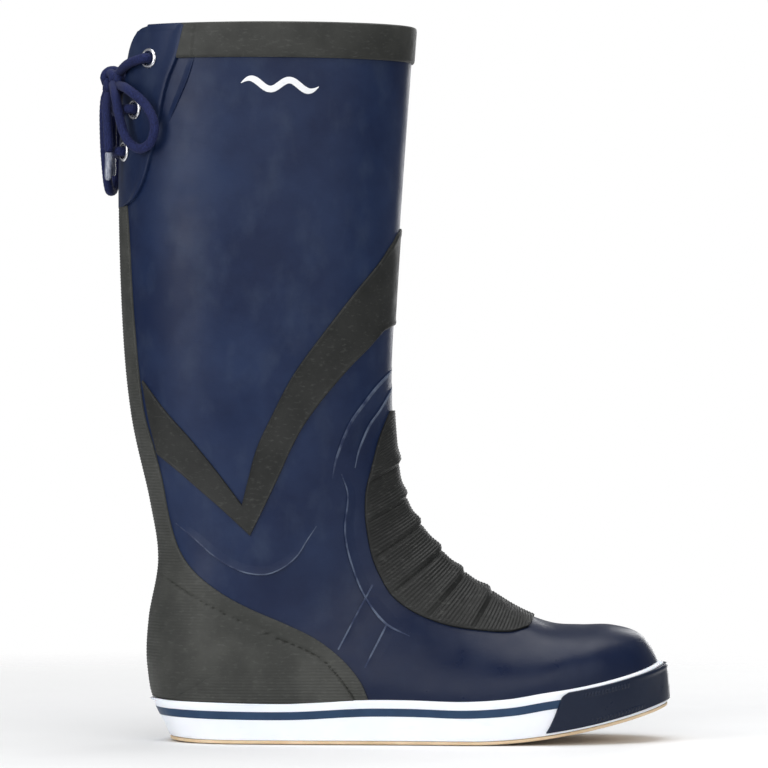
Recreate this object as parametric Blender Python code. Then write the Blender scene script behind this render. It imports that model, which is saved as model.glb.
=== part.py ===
"""A right-foot rubber deck boot: knee-high shaft, laced rear gusset, siped gum sole.

The frame is +X towards the toe, +Z up and -Y the outer (lateral) side of the foot.
The origin is on the ground, under the middle of the boot's length and width.
Lengths below are in millimetres and become metres when a mesh is made.
"""

import math

import bmesh
import bpy
import numpy as np
from mathutils import Matrix, Vector

MM = 0.001
GAP = 0.35  # between pieces that are bonded to each other
LAID = 0.55  # the same, for the layers on the curved outside of the upper

# The last that the upper is built on, as sections from the rim to the toe tip. A section lies in a
# plane across the boot, from a point on its back or base to a point on its front or top. Each row:
# back x, back z, front x, front z, half width, place of the widest point (0 back, 1 front), fullness.
SECTIONS = (
    (-154.0, 411.0, 12.2, 411.0, 55.0, 0.50, 2.0),
    (-157.6, 331.5, 6.2, 328.5, 55.5, 0.50, 2.0),
    (-155.7, 246.5, 1.2, 252.5, 54.0, 0.49, 2.0),
    (-150.4, 188.5, -0.8, 208.5, 50.5, 0.48, 2.0),
    (-139.5, 138.5, 1.0, 172.5, 45.5, 0.46, 2.0),
    (-134.8, 104.5, 3.6, 149.5, 42.0, 0.44, 1.95),
    (-140.3, 70.5, 9.4, 133.5, 40.0, 0.42, 1.9),
    (-141.0, 42.5, 15.0, 124.5, 39.0, 0.40, 1.85),
    (-133.7, 20.0, 22.0, 115.5, 39.0, 0.38, 1.8),
    (-105.0, 18.0, 30.0, 106.0, 40.0, 0.34, 1.75),
    (-62.0, 16.5, 42.0, 95.3, 40.5, 0.30, 1.75),
    (-18.0, 13.5, 57.0, 85.0, 42.5, 0.28, 1.8),
    (22.0, 11.0, 74.0, 74.7, 46.5, 0.28, 1.9),
    (58.0, 10.5, 92.0, 67.8, 49.0, 0.30, 2.1),
    (90.0, 12.5, 109.0, 66.5, 47.0, 0.32, 2.3),
    (117.0, 16.5, 127.0, 66.3, 40.5, 0.34, 2.3),
    (138.0, 22.0, 143.5, 61.0, 29.5, 0.36, 2.2),
    (150.0, 27.5, 153.2, 47.5, 16.0, 0.40, 2.0),
    (155.0, 35.5, 155.0, 35.7, 0.0, 0.50, 2.0),
)
HEEL_SECTION = 8  # this section's back point is the rear corner of the base
TOE_SECTION = len(SECTIONS) - 1
FIRST_RING = 5.2  # height of the wall's first ring of points above the base
UPPER_END_T = 16.85  # the shell and lining close with a flat end here, behind the foxing

# The sole's plan: from the heel to the toe tip, with its fullness along the half turn between them.
SOLE_HEEL_X = -137.5
SOLE_LENGTH = 296.0
SOLE_FULLNESS = ((0.0, 72.0), (0.68, 57.0), (1.0, 46.5), (1.3, 41.5), (1.57, 43.5), (1.84, 52.0))
SOLE_FULLNESS += ((2.13, 59.0), (2.4, 64.0), (2.7, 69.0), (math.pi, 74.0))
SOLE_CENTRE = ((-137.5, 0.0), (-90.0, 0.0), (-30.0, -3.5), (40.0, -1.5), (100.0, 4.0), (158.5, 9.0))
UPPER_INSET = 3.7  # the upper's wall, inside the foxing's outer face
WALL = 3.0  # foxing thickness

TREAD_FLAT_END = 45.0
TOE_SPRING = 19.2
TOE_SPRING_POWER = 1.85
HEEL_BEVEL_START = -112.0
HEEL_BEVEL = 0.8
OUTSOLE_THICK = 4.6
OUTSOLE_LIP = 2.0  # the gum edge that shows below the foxing
FOXING_TOP = ((-138.0, 24.4), (-105.0, 23.4), (-60.0, 23.2), (-19.0, 25.3), (8.0, 25.4), (40.0, 24.6))
FOXING_TOP += ((66.0, 26.2), (86.0, 29.4), (104.0, 32.0), (124.0, 36.0), (144.0, 41.4), (158.5, 47.0))
HEEL_TAPER = 8.5  # how far the sole's wall leans in towards the ground at the heel
SIDE_TAPER = 2.0
TOE_TAPER = -1.0
STRIPE_DROP = 4.6  # from the foxing's top edge to the stripe
STRIPE_HEIGHT = 4.6

SHELL_THICK = 2.0
LINING_THICK = 1.2

# The laced opening at the back: how far round its edge is at the rim, and the height it closes at.
NOTCH_ANGLE = 0.33
NOTCH_END_T = 1.17
NOTCH_CORNER = 0.16  # rounding of the flaps' top corners, as extra angle
CORNER_T = 0.16  # and how far down from the rim it goes
EYELET_SPOTS = ((-138.8, 392.5), (-147.1, 363.7), (-153.3, 339.9))
EYELET_RADIUS = 5.8
EYELET_BARREL = 4.2
EYELET_BORE = 3.6
GUSSET_THICK = 0.8
LACE_RADIUS = 2.3
AGLET_RADIUS = 2.0
KNOT = (-162.3, -1.0, 383.2)

# Outlines seen from the side, as (x, z).
FACING_EDGE = ((-118.5, 410.9), (-122.4, 394.3), (-128.5, 378.5), (-132.5, 361.7), (-136.9, 340.9))
FACING_EDGE += ((-141.9, 323.1), (-148.3, 312.7))
SEAM = ((39.3, 234.5), (0.9, 217.7), (-9.4, 204.9), (-17.8, 196.1), (-25.7, 183.3), (-31.6, 164.5))
SEAM += ((-28.2, 143.8), (-28.6, 119.2), (-25.7, 102.5), (-16.3, 84.7), (-32.1, 54.2), (-47.4, 23.6))
SEAM += ((-59.2, -19.7),)
GUARD_EDGE = ((-152.7, 308.7), (-151.1, 284.4), (-149.9, 261.6), (-148.5, 241.8), (-145.7, 211.1))
GUARD_EDGE += ((-142.6, 188.3), (-137.4, 170.2), (-132.8, 152.3), (-127.9, 126.9), (-122.4, 110.4))
GUARD_EDGE += ((-113.5, 98.1), (-98.1, 86.2), (-82.2, 77.6), (-61.0, 68.4), (-44.8, 60.4))
GUARD_EDGE += ((-33.2, 52.0), (-23.6, 43.1), (-17.9, 34.7))
ARM_TOP = ((-86.3, 137.0), (-82.9, 150.7), (-77.9, 169.0), (-69.2, 187.8), (-56.9, 211.2))
ARM_TOP += ((-38.4, 236.9), (-21.2, 259.2), (-6.4, 278.1), (2.5, 294.3))
ARM_FOOT = ((-81.7, 119.3), (-76.6, 129.6), (-64.4, 155.3), (-58.3, 169.0), (-50.9, 182.7))
ARM_FOOT += ((-39.4, 198.6), (-24.6, 216.0), (-13.8, 227.2), (-1.1, 242.6))
BACK_ARM_TOP = ((-143.5, 208.1), (-130.0, 190.4), (-115.7, 174.5), (-100.2, 155.6), (-86.5, 137.3))
BACK_ARM_FOOT = ((-134.8, 165.7), (-122.8, 156.1), (-111.6, 146.4), (-99.6, 136.1), (-81.8, 119.5))
PANEL_EDGE = ((-2.0, 190.3), (-8.1, 175.0), (-12.1, 159.6), (-15.6, 145.3), (-16.3, 133.2))
PANEL_EDGE += ((-15.0, 120.1), (-12.1, 106.4), (-8.1, 96.6), (-1.3, 85.2), (8.2, 77.2), (19.4, 71.5))
PANEL_EDGE += ((33.7, 67.0), (50.2, 64.6), (67.0, 63.7), (77.8, 66.1))
PANEL_RIDGES = ((4.6, 163.6), (8.1, 143.8), (15.7, 127.6), (26.6, 111.9), (40.5, 100.0), (55.6, 88.7))
PANEL_THICK = 1.3
RIDGE_HEIGHT = 2.0
RIDGE_WIDTH = 0.22  # in sections, like the next
RIDGE_DROOP = 1.1  # how much nearer the toe a ridge is at the panel's side than at the front
EMBLEM = ((-86.5, 377.2), (-42.3, 375.2))  # from one end of the wave to the other

COLOURS = {
    "navy_rubber": ((0.020, 0.031, 0.085), 0.38, 0.0),
    "charcoal_rubber": ((0.040, 0.042, 0.036), 0.55, 0.0),
    "white_rubber": ((0.82, 0.85, 0.90), 0.45, 0.0),
    "gum_rubber": ((0.62, 0.42, 0.22), 0.6, 0.0),
    "grey_textile": ((0.20, 0.20, 0.21), 0.9, 0.0),
    "foam": ((0.10, 0.10, 0.11), 0.9, 0.0),
    "board": ((0.45, 0.36, 0.25), 0.8, 0.0),
    "steel": ((0.62, 0.62, 0.64), 0.3, 1.0),
    "navy_cord": ((0.012, 0.018, 0.075), 0.9, 0.0),
    "clear_plastic": ((0.55, 0.56, 0.62), 0.25, 0.0),
}


# ---- curves and the two surfaces everything lies on -----------------------------------------


def smooth_through(knots, values):
    """A function that runs smoothly through the values at the knots, which rise."""
    k = np.asarray(knots, float)
    v = np.asarray(values, float).reshape(len(k), -1)
    slope = np.empty_like(v)
    slope[1:-1] = (v[2:] - v[:-2]) / (k[2:] - k[:-2])[:, None]
    slope[0] = (v[1] - v[0]) / (k[1] - k[0])
    slope[-1] = (v[-1] - v[-2]) / (k[-1] - k[-2])

    def at(x):
        x = np.clip(np.atleast_1d(np.asarray(x, float)), k[0], k[-1])
        i = np.clip(np.searchsorted(k, x, side="right") - 1, 0, len(k) - 2)
        step = (k[i + 1] - k[i])[:, None]
        u = (x[:, None] - k[i][:, None]) / step
        start = (2 * u**3 - 3 * u**2 + 1) * v[i] + (u**3 - 2 * u**2 + u) * step * slope[i]
        end = (3 * u**2 - 2 * u**3) * v[i + 1] + (u**3 - u**2) * step * slope[i + 1]
        return (start + end).squeeze(-1) if v.shape[1] == 1 else start + end

    return at


def pairs(points):
    """smooth_through for a list of (x, value)."""
    return smooth_through(*zip(*points, strict=True))


sole_fullness = pairs(SOLE_FULLNESS)
sole_centre = pairs(SOLE_CENTRE)
foxing_top = pairs(FOXING_TOP)
section_values = smooth_through(range(len(SECTIONS)), SECTIONS)


def ground(x):
    """Height of the tread's underside."""
    spring = np.clip((x - TREAD_FLAT_END) / (SOLE_HEEL_X + SOLE_LENGTH - TREAD_FLAT_END), 0, None)
    bevel = np.clip((HEEL_BEVEL_START - x) / (HEEL_BEVEL_START - SOLE_HEEL_X - HEEL_TAPER), 0, None)
    return TOE_SPRING * spring**TOE_SPRING_POWER + HEEL_BEVEL * bevel**1.5


def taper(x):
    """How far the sole's wall leans in at the ground, from heel to toe."""
    heel = ((SOLE_HEEL_X, HEEL_TAPER), (-118.0, 5.0), (-85.0, SIDE_TAPER))
    toe = ((110.0, SIDE_TAPER), (158.5, TOE_TAPER))
    return pairs(heel + toe)(x)


def plan_loop(inset, count):
    """The sole's outline, inset by so much (a number, or one for each x), as a closed loop of
    points from the heel along the outer side to the toe and back along the inner side."""
    turn = np.linspace(0, math.pi, count // 2 + 1)
    x = SOLE_HEEL_X + SOLE_LENGTH * (1 - np.cos(turn)) / 2
    half = np.sin(turn) * sole_fullness(turn)
    outer = np.column_stack([x, sole_centre(x) - half])
    inner = np.column_stack([x, sole_centre(x) + half])
    loop = np.vstack([outer, inner[-2:0:-1]])
    along = np.roll(loop, -1, 0) - np.roll(loop, 1, 0)
    normal = np.column_stack([along[:, 1], -along[:, 0]])
    normal /= np.linalg.norm(normal, axis=1)[:, None]
    amount = inset(loop[:, 0]) if callable(inset) else np.full(len(loop), float(inset))
    return loop - normal * amount[:, None]


def base_edges(x):
    """The upper's base at x: the y of its outer and inner edges."""
    loop = plan_loop(UPPER_INSET, 160)
    half = len(loop) // 2
    outer, inner = loop[: half + 1], np.vstack([loop[half:], loop[:1]])[::-1]
    return np.interp(x, outer[:, 0], outer[:, 1]), np.interp(x, inner[:, 0], inner[:, 1])


def last(t, angle):
    """Points on the upper's outer face. t runs over the sections, and the angle from 0 at the back
    or base, by the outer side, to pi at the front; a negative angle, or one past pi, is the inner side."""
    t, angle = (a.ravel() for a in np.broadcast_arrays(np.asarray(t, float), np.asarray(angle, float)))
    row = section_values(t)
    back, front, wide, widest, full = row[:, 0:2], row[:, 2:4], row[:, 4], row[:, 5], row[:, 6]
    edge_outer, edge_inner = base_edges(back[:, 0])
    base = np.where(t > HEEL_SECTION - 0.5, (edge_inner - edge_outer) / 2, 0)
    base = np.where(back[:, 0] > SOLE_HEEL_X + UPPER_INSET, base, 0)
    middle = np.where(base > 0, (edge_inner + edge_outer) / 2, sole_centre(back[:, 0]))
    wide = np.maximum(wide, base * 1.01 + 1e-6)
    share = (1 - np.cos(angle)) / 2
    low = np.clip((widest - share) / widest, 0, 1)
    high = np.clip((share - widest) / (1 - widest), 0, 1)
    below = np.sqrt(np.clip(1 - (1 - (base / wide) ** 2) * low**2, 0, None))
    above = np.sqrt(np.clip(1 - high**full, 0, None))
    width = wide * np.where(share < widest, below, above)
    lean = np.clip(front[:, 0] / 110.0, 0, 1)
    centre = middle * (1 - share) + sole_centre(front[:, 0]) * lean * share
    across = back + (front - back) * share[:, None]
    side = np.where(np.sin(angle) >= -1e-12, -1.0, 1.0)
    return np.column_stack([across[:, 0], centre + side * width, across[:, 1]])


def outward(t, angle):
    """Unit normals of the upper's outer face."""
    step = 0.015
    t, angle = np.broadcast_arrays(np.asarray(t, float), np.asarray(angle, float))
    shape = t.shape
    t, angle = t.ravel(), angle.ravel()
    along = last(np.minimum(t + step, TOE_SECTION), angle) - last(np.maximum(t - step, 0), angle)
    foot = (t > HEEL_SECTION) & (np.abs(np.sin(angle)) < step) & (np.cos(angle) > 0)
    around_from = np.where(foot, angle, angle - step)
    around = last(t, angle + step) - last(t, around_from)
    normal = np.cross(around, along)
    row = section_values(t)
    middle = np.column_stack([(row[:, 0] + row[:, 2]) / 2, np.zeros(len(t)), (row[:, 1] + row[:, 3]) / 2])
    flip = np.sign(np.einsum("ij,ij->i", normal, last(t, angle) - middle))
    normal *= np.where(flip == 0, 1, flip)[:, None]
    length = np.linalg.norm(normal, axis=1)[:, None]
    return (normal / np.maximum(length, 1e-12)).reshape(*shape, 3)


def skin(t, angle, out):
    """A grid of points that stand out from the upper's outer face."""
    t, angle = np.broadcast_arrays(np.asarray(t, float), np.asarray(angle, float))
    return last(t, angle).reshape(*t.shape, 3) + outward(t, angle) * out


def locate(points):
    """(t, angle) on the outer side of points given as (x, z) seen from the side."""
    t = np.linspace(0, TOE_SECTION, 1801)
    row = section_values(t)
    back, chord = row[:, 0:2], row[:, 2:4] - row[:, 0:2]
    found = []
    for x, z in points:
        to = np.array([x, z]) - back
        side = chord[:, 0] * to[:, 1] - chord[:, 1] * to[:, 0]
        change = np.flatnonzero((side[:-1] <= 0) & (side[1:] > 0))
        i = int(change[0]) if len(change) else int(np.abs(side).argmin())
        share = (to[i] @ chord[i]) / (chord[i] @ chord[i])
        found.append((t[i], math.acos(1 - 2 * min(1.0, max(0.0, share)))))
    return np.array(found)


def side_curve(points, count):
    """(t, angle) of points on a smooth curve seen from the side, evenly spread over the upper."""
    spots = np.array(points, float)
    run = np.concatenate([[0], np.cumsum(np.linalg.norm(np.diff(spots, axis=0), axis=1))])
    found = locate(smooth_through(run, spots)(np.linspace(0, run[-1], 160)))
    places = last(found[:, 0], found[:, 1])
    walk = np.concatenate([[0], np.cumsum(np.linalg.norm(np.diff(places, axis=0), axis=1))])
    at = np.linspace(0, walk[-1], count)
    return np.column_stack([np.interp(at, walk, found[:, 0]), np.interp(at, walk, found[:, 1])])


# ---- making objects --------------------------------------------------------------------------


def clear_scene():
    for obj in list(bpy.data.objects):
        bpy.data.objects.remove(obj, do_unlink=True)


def material(name):
    found = bpy.data.materials.get(name)
    if found:
        return found
    made = bpy.data.materials.new(name)
    made.use_nodes = True
    colour, rough, metal = COLOURS[name]
    shader = made.node_tree.nodes["Principled BSDF"]
    shader.inputs["Base Color"].default_value = (*colour, 1.0)
    shader.inputs["Roughness"].default_value = rough
    shader.inputs["Metallic"].default_value = metal
    made.diffuse_color = (*colour, 1.0)
    return made


def add_object(name, bm, look, sharp_deg=35.0):
    bmesh.ops.recalc_face_normals(bm, faces=bm.faces)
    mesh = bpy.data.meshes.new(name)
    bm.to_mesh(mesh)
    bm.free()
    mesh.shade_smooth()
    mesh.set_sharp_from_angle(angle=math.radians(sharp_deg))
    mesh.materials.append(material(look))
    obj = bpy.data.objects.new(name, mesh)
    bpy.context.scene.collection.objects.link(obj)
    return obj


def grid_faces(bm, grid, wrap=False):
    """Adds a grid of points, in millimetres, as quads. wrap joins its last row to its first."""
    rows = [[bm.verts.new(Vector(p) * MM) for p in row] for row in grid]
    last_row = len(rows) if wrap else len(rows) - 1
    for i in range(last_row):
        a, b = rows[i], rows[(i + 1) % len(rows)]
        for j in range(len(a) - 1):
            bm.faces.new((a[j], a[j + 1], b[j + 1], b[j]))
    return rows


def close_sheet(bm, moved):
    """Makes an open sheet a solid: moved holds where each vertex is on the other face."""
    rims = [tuple(edge.verts) for edge in bm.edges if edge.is_boundary]
    faces = list(bm.faces)
    twin = {v: bm.verts.new(place) for v, place in zip(list(bm.verts), moved, strict=True)}
    for face in faces:
        bm.faces.new([twin[v] for v in reversed(face.verts)])
    for a, b in rims:
        bm.faces.new((a, b, twin[b], twin[a]))


def sheet(name, top, under, look):
    """A solid between two grids of the same size, a layer's two faces."""
    bm = bmesh.new()
    grid_faces(bm, top)
    close_sheet(bm, [Vector(p) * MM for row in under for p in row])
    bmesh.ops.remove_doubles(bm, verts=bm.verts, dist=0.02 * MM)
    return add_object(name, bm, look)


def loft(name, sections, look):
    """A closed ring of closed sections, each the same number of points."""
    bm = bmesh.new()
    closed = [list(section) + [section[0]] for section in sections]
    grid_faces(bm, closed, wrap=True)
    bmesh.ops.remove_doubles(bm, verts=bm.verts, dist=0.02 * MM)
    return add_object(name, bm, look)


def stack(name, loops, look):
    """A solid through level loops, each from the heel round the outer side and back."""
    bm = bmesh.new()
    rings = [[bm.verts.new(Vector(p) * MM) for p in loop] for loop in loops]
    for low, high in zip(rings, rings[1:], strict=False):
        for i in range(len(low)):
            j = (i + 1) % len(low)
            bm.faces.new((low[i], low[j], high[j], high[i]))
    for ring in (rings[0], rings[-1]):
        count = len(ring)
        for i in range(count // 2):
            corners = [ring[i], ring[i + 1], ring[(count - i - 1) % count], ring[(count - i) % count]]
            bm.faces.new(list(dict.fromkeys(corners)))
    return add_object(name, bm, look)


def layer(name, t, angle, low, high, look):
    """A sheet laid on the upper, from low to high millimetres off its outer face."""
    return sheet(name, skin(t, angle, high), skin(t, angle, low), look)


def cut(obj, cutter):
    """Cuts the cutter from the object now, and removes the cutter."""
    change = obj.modifiers.new("cut", "BOOLEAN")
    change.operation = "DIFFERENCE"
    change.solver = "EXACT"
    change.object = cutter
    graph = bpy.context.evaluated_depsgraph_get()
    mesh = bpy.data.meshes.new_from_object(obj.evaluated_get(graph))
    obj.modifiers.clear()
    obj.data = mesh
    bpy.data.objects.remove(cutter, do_unlink=True)


def prism(name, outline, depth):
    """A cutter: an outline seen from the side, as long as depth across the boot."""
    bm = bmesh.new()
    ring = [bm.verts.new((x * MM, -depth / 2 * MM, z * MM)) for x, z in outline]
    face = bm.faces.new(ring)
    grown = bmesh.ops.extrude_face_region(bm, geom=[face])
    moved = [g for g in grown["geom"] if isinstance(g, bmesh.types.BMVert)]
    bmesh.ops.translate(bm, verts=moved, vec=(0, depth * MM, 0))
    return add_object(name, bm, "steel")


def turned(name, profile, place, axis, look, steps=14):
    """A round piece: a closed profile of (radius, height) turned about the axis through place."""
    bm = bmesh.new()
    ring = [bm.verts.new((r * MM, 0, h * MM)) for r, h in profile]
    edges = [bm.edges.new((ring[i], ring[(i + 1) % len(ring)])) for i in range(len(ring))]
    bmesh.ops.spin(bm, geom=ring + edges, cent=(0, 0, 0), axis=(0, 0, 1), angle=2 * math.pi, steps=steps)
    bmesh.ops.remove_doubles(bm, verts=bm.verts, dist=0.01 * MM)
    turn = Vector(axis).to_track_quat("Z", "Y").to_matrix().to_4x4()
    bmesh.ops.transform(bm, matrix=Matrix.Translation(Vector(place) * MM) @ turn, verts=bm.verts)
    return add_object(name, bm, look)


def drill(place, axis, radius):
    """A cutter for a round hole along the axis."""
    bm = bmesh.new()
    bmesh.ops.create_cone(
        bm, cap_ends=True, segments=12, radius1=radius * MM, radius2=radius * MM, depth=18 * MM
    )
    turn = Vector(axis).to_track_quat("Z", "Y").to_matrix().to_4x4()
    bmesh.ops.transform(bm, matrix=Matrix.Translation(Vector(place) * MM) @ turn, verts=bm.verts)
    return add_object("hole", bm, "steel")


def tube(name, points, radius, look, count):
    """A cord's plain solid along a smooth route through the points."""
    spots = np.array(points, float)
    run = np.concatenate([[0], np.cumsum(np.linalg.norm(np.diff(spots, axis=0), axis=1))])
    route = smooth_through(run, spots)(np.linspace(0, run[-1], count))
    curve = bpy.data.curves.new(name, "CURVE")
    curve.dimensions = "3D"
    curve.bevel_depth = radius * MM
    curve.bevel_resolution = 2
    curve.use_fill_caps = True
    spline = curve.splines.new("POLY")
    spline.points.add(count - 1)
    for spot, place in zip(spline.points, route, strict=True):
        spot.co = (*(place * MM), 1.0)
    curve.materials.append(material(look))
    obj = bpy.data.objects.new(name, curve)
    bpy.context.scene.collection.objects.link(obj)
    return obj


# ---- the upper ------------------------------------------------------------------------------------


def notch_edge(t):
    """The angle of the laced opening's edge, and 0 below it."""
    t = np.asarray(t, float)
    taper_in = np.clip(1 - t / NOTCH_END_T, 0, 1)
    corner = np.clip(1 - t / CORNER_T, 0, 1)
    return NOTCH_ANGLE * taper_in**0.9 + NOTCH_CORNER * (1 - np.sqrt(1 - corner**2))


def upper_sheet():
    """The upper's outer face as an open sheet with its base, as a bmesh in metres."""
    leg = [0, 0.05, 0.16, 0.5, 0.85, NOTCH_END_T, 1.7, 2.2, 2.65, 3.05, 3.45, 3.8, 4.15, 4.5, 4.85]
    leg += [5.2, 5.55, 5.9, 6.3, 6.7, 7.1, 7.45, 7.75, 8]
    foot = [8.05, 8.2, 8.45, 8.8, 9.2, 9.6, 10.05, 10.5, 11.0, 11.5, 12.0, 12.6, 13.3, 14.0, 14.7]
    foot += [15.3, 15.8, 16.2, 16.55, UPPER_END_T]
    bm = bmesh.new()
    t = np.array(leg + foot)
    start = notch_edge(t)[:, None]
    half = start + (math.pi - start) * np.linspace(0, 1, 11)[None, :]
    row = section_values(t)
    first = np.arccos(1 - 2 * FIRST_RING / (row[:, 3] - row[:, 1]).clip(FIRST_RING))[:, None]
    ringed = first + (math.pi - first) * np.linspace(0, 1, 10)[None, :]
    foot_rows = t >= HEEL_SECTION - 0.5
    half[foot_rows, 1:] = ringed[foot_rows]
    angle = np.hstack([half, 2 * math.pi - half[:, -2::-1]])
    angle[start[:, 0] <= 1e-9, -1] = -1e-9
    points = last(t[:, None], angle).reshape(*angle.shape, 3)
    rows = grid_faces(bm, points)
    for a, b in zip(rows[len(leg) - 1 : -1], rows[len(leg) :], strict=True):
        bm.faces.new((a[0], b[0], b[-1], a[-1]))
    end = rows[-1]
    for i in range(len(end) // 2):
        bm.faces.new(list(dict.fromkeys((end[i], end[i + 1], end[-i - 2], end[-i - 1]))))
    bmesh.ops.remove_doubles(bm, verts=bm.verts, dist=0.05 * MM)
    bmesh.ops.recalc_face_normals(bm, faces=bm.faces)
    base = min(bm.faces, key=lambda face: abs(face.calc_center_median().x) + face.calc_center_median().z)
    if base.normal.z > 0:
        bmesh.ops.reverse_faces(bm, faces=bm.faces)
    bmesh.ops.triangulate(bm, faces=bm.faces, quad_method="FIXED")
    return bm


def offset_points(bm, out):
    """Where each vertex goes when a sheet is moved along its normals, true round its corners."""
    bm.normal_update()
    return [v.co + v.normal * (min(v.calc_shell_factor(), 1.6) * out * MM) for v in bm.verts]


def sock(name, outer, thick, look):
    """A closed sock between two depths under the upper's outer face."""
    bm = upper_sheet()
    inner_places = offset_points(bm, -outer - thick)
    for vert, place in zip(bm.verts, offset_points(bm, -outer), strict=True):
        vert.co = place
    close_sheet(bm, inner_places)
    return add_object(name, bm, look)


def seam_cutter(side, shift):
    """One side of the seam between the leg and the vamp: 1 is the toe side, -1 the heel side."""
    line = [(x + shift, z) for x, z in SEAM]
    far = [(260.0 * side, -20.0), (260.0 * side, 460.0), (40.0, 460.0)]
    return prism("seam_cutter", line + far, 240.0)


def rows_of(edge, count):
    """t and angle at even steps of t along an outline seen from the side."""
    spots = side_curve(edge, 200)
    t = np.linspace(spots[0, 0], spots[-1, 0], count)
    order = np.argsort(spots[:, 0])
    return t, np.interp(t, spots[order, 0], spots[order, 1])


def strip(low, high, columns):
    """Angles from low to high, for each row, in so many columns."""
    share = np.linspace(0, 1, columns)
    return low[:, None] + (high - low)[:, None] * share[None, :]


def rim_band():
    t = np.linspace(0.004, 0.233, 3)
    top, foot = locate([(-112.0, 410.9), (-121.0, 393.8)])[:, 1]
    start = top + (foot - top) * np.linspace(0, 1, 3)
    angle = strip(start, 2 * math.pi - start, 34)
    layer("rim_band", t[:, None], angle, LAID, LAID + 1.2, "charcoal_rubber")


def facings():
    spots = side_curve(FACING_EDGE, 120)
    t = np.concatenate([[0.004, 0.04, 0.16], np.linspace(0.3, spots[-1, 0], 9)])
    edge = np.interp(t, spots[:, 0], spots[:, 1])
    start = np.maximum(notch_edge(t), 0.035)
    edge = np.maximum(edge, start + 0.03)
    for name, side in (("lace_facing_outer", 1), ("lace_facing_inner", -1)):
        layer(name, t[:, None], side * strip(start, edge, 5), LAID, LAID + 1.2, "navy_rubber")


def to_front(curve, count):
    """A curve carried on to the front centre line, its points evenly spread."""
    curve = curve[curve[:, 1] < 2.75]
    curve = np.vstack([curve, [curve[-1, 0] - 0.03, 2.95], [curve[-1, 0] - 0.04, math.pi]])
    places = last(curve[:, 0], curve[:, 1])
    walk = np.concatenate([[0], np.cumsum(np.linalg.norm(np.diff(places, axis=0), axis=1))])
    at = np.linspace(0, walk[-1], count)
    return np.column_stack([np.interp(at, walk, curve[:, 0]), np.interp(at, walk, curve[:, 1])])


def chevron():
    back_top = side_curve(BACK_ARM_TOP, 9)
    back_foot = side_curve(BACK_ARM_FOOT, 9)
    top = to_front(side_curve(ARM_TOP, 60), 17)
    foot = to_front(side_curve(ARM_FOOT, 60), 17)
    upper = np.vstack([back_top[:-1], top])
    lower = np.vstack([back_foot[:-1], foot])
    share = np.linspace(0, 1, 4)
    t = lower[:, None, 0] + (upper - lower)[:, None, 0] * share
    angle = lower[:, None, 1] + (upper - lower)[:, None, 1] * share
    t = np.vstack([t, t[-2::-1]])
    angle = np.vstack([angle, 2 * math.pi - angle[-2::-1]])
    layer("chevron_band", t, angle, LAID, LAID + 1.0, "charcoal_rubber")


def instep_panel():
    t, edge = rows_of(PANEL_EDGE, 40)
    angle = strip(edge, 2 * math.pi - edge, 9)
    ridge_t = [found[0] for found in locate(PANEL_RIDGES)]
    lean = np.abs(angle - math.pi) / math.pi
    height = np.zeros_like(angle)
    for place in ridge_t:
        along = (t[:, None] - place - RIDGE_DROOP * lean) / RIDGE_WIDTH
        height = np.maximum(height, RIDGE_HEIGHT * np.exp(-(along**2)))
    from_edge = np.minimum(angle, 2 * math.pi - angle) - edge[:, None]
    height *= np.clip(from_edge / 0.25, 0, 1)
    top = skin(t[:, None], angle, LAID + PANEL_THICK + height[..., None])
    sheet("instep_panel", top, skin(t[:, None], angle, LAID + 0.15), "charcoal_rubber")


def heel_guard(wall):
    spots = side_curve(GUARD_EDGE, 200)
    first, end = spots[0, 0], spots[-1, 0]
    t = np.concatenate([np.linspace(first, 7.3, 14), np.linspace(7.45, 9.3, 13), np.linspace(9.5, end, 5)])
    edge = np.interp(t, spots[:, 0], spots[:, 1])
    _, fox_t, fox_angle = wall.lines[0]
    fox = np.interp(t + 0.13, fox_t, fox_angle, left=0.0)
    low = np.where(fox > 0.0, fox + 0.03, 0.0)
    edge = np.maximum(edge, low + 0.02)
    bm = bmesh.new()
    grids = [skin(t[:, None], side * strip(low, edge, 8), LAID + 1.3) for side in (1, -1)]
    under = [skin(t[:, None], side * strip(low, edge, 8), LAID + 0.2) for side in (1, -1)]
    for grid in grids:
        grid_faces(bm, grid)
    flat = [Vector(p) * MM for grid in under for row in grid for p in row]
    keep = {}
    for vert, place in zip(bm.verts, flat, strict=True):
        keep[tuple(round(c, 7) for c in vert.co)] = place
    bmesh.ops.remove_doubles(bm, verts=bm.verts, dist=0.02 * MM)
    close_sheet(bm, [keep[tuple(round(c, 7) for c in vert.co)] for vert in bm.verts])
    add_object("heel_guard", bm, "charcoal_rubber")


def emblem():
    """A plain wave, printed thick: the only mark on the leg."""
    (x0, z0), (x1, z1) = EMBLEM
    share = np.linspace(0, 1, 33)
    wave = 2.8 * np.sin(share * 4 * math.pi)
    mid = np.column_stack([x0 + (x1 - x0) * share, z0 + (z1 - z0) * share + wave])
    ends = np.clip(6 * np.minimum(share, 1 - share), 0, 1)
    width = 0.35 + 1.7 * np.sin(ends * math.pi / 2)
    low, high = mid - [0, 1] * width[:, None], mid + [0, 1] * width[:, None]
    spots = np.stack([locate(low), locate(high)], axis=1)
    layer("wave_emblem", spots[..., 0], spots[..., 1], GAP * 0.8, GAP * 0.8 + 0.4, "white_rubber")


def eyelet_places():
    """Each eyelet's (t, angle), on the outer side from the top one down, then on the inner."""
    found = locate(EYELET_SPOTS)
    return [(t, side * a) for side in (1, -1) for t, a in found]


def on_skin(t, angle, out):
    return skin(t, angle, out).reshape(3)


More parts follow.
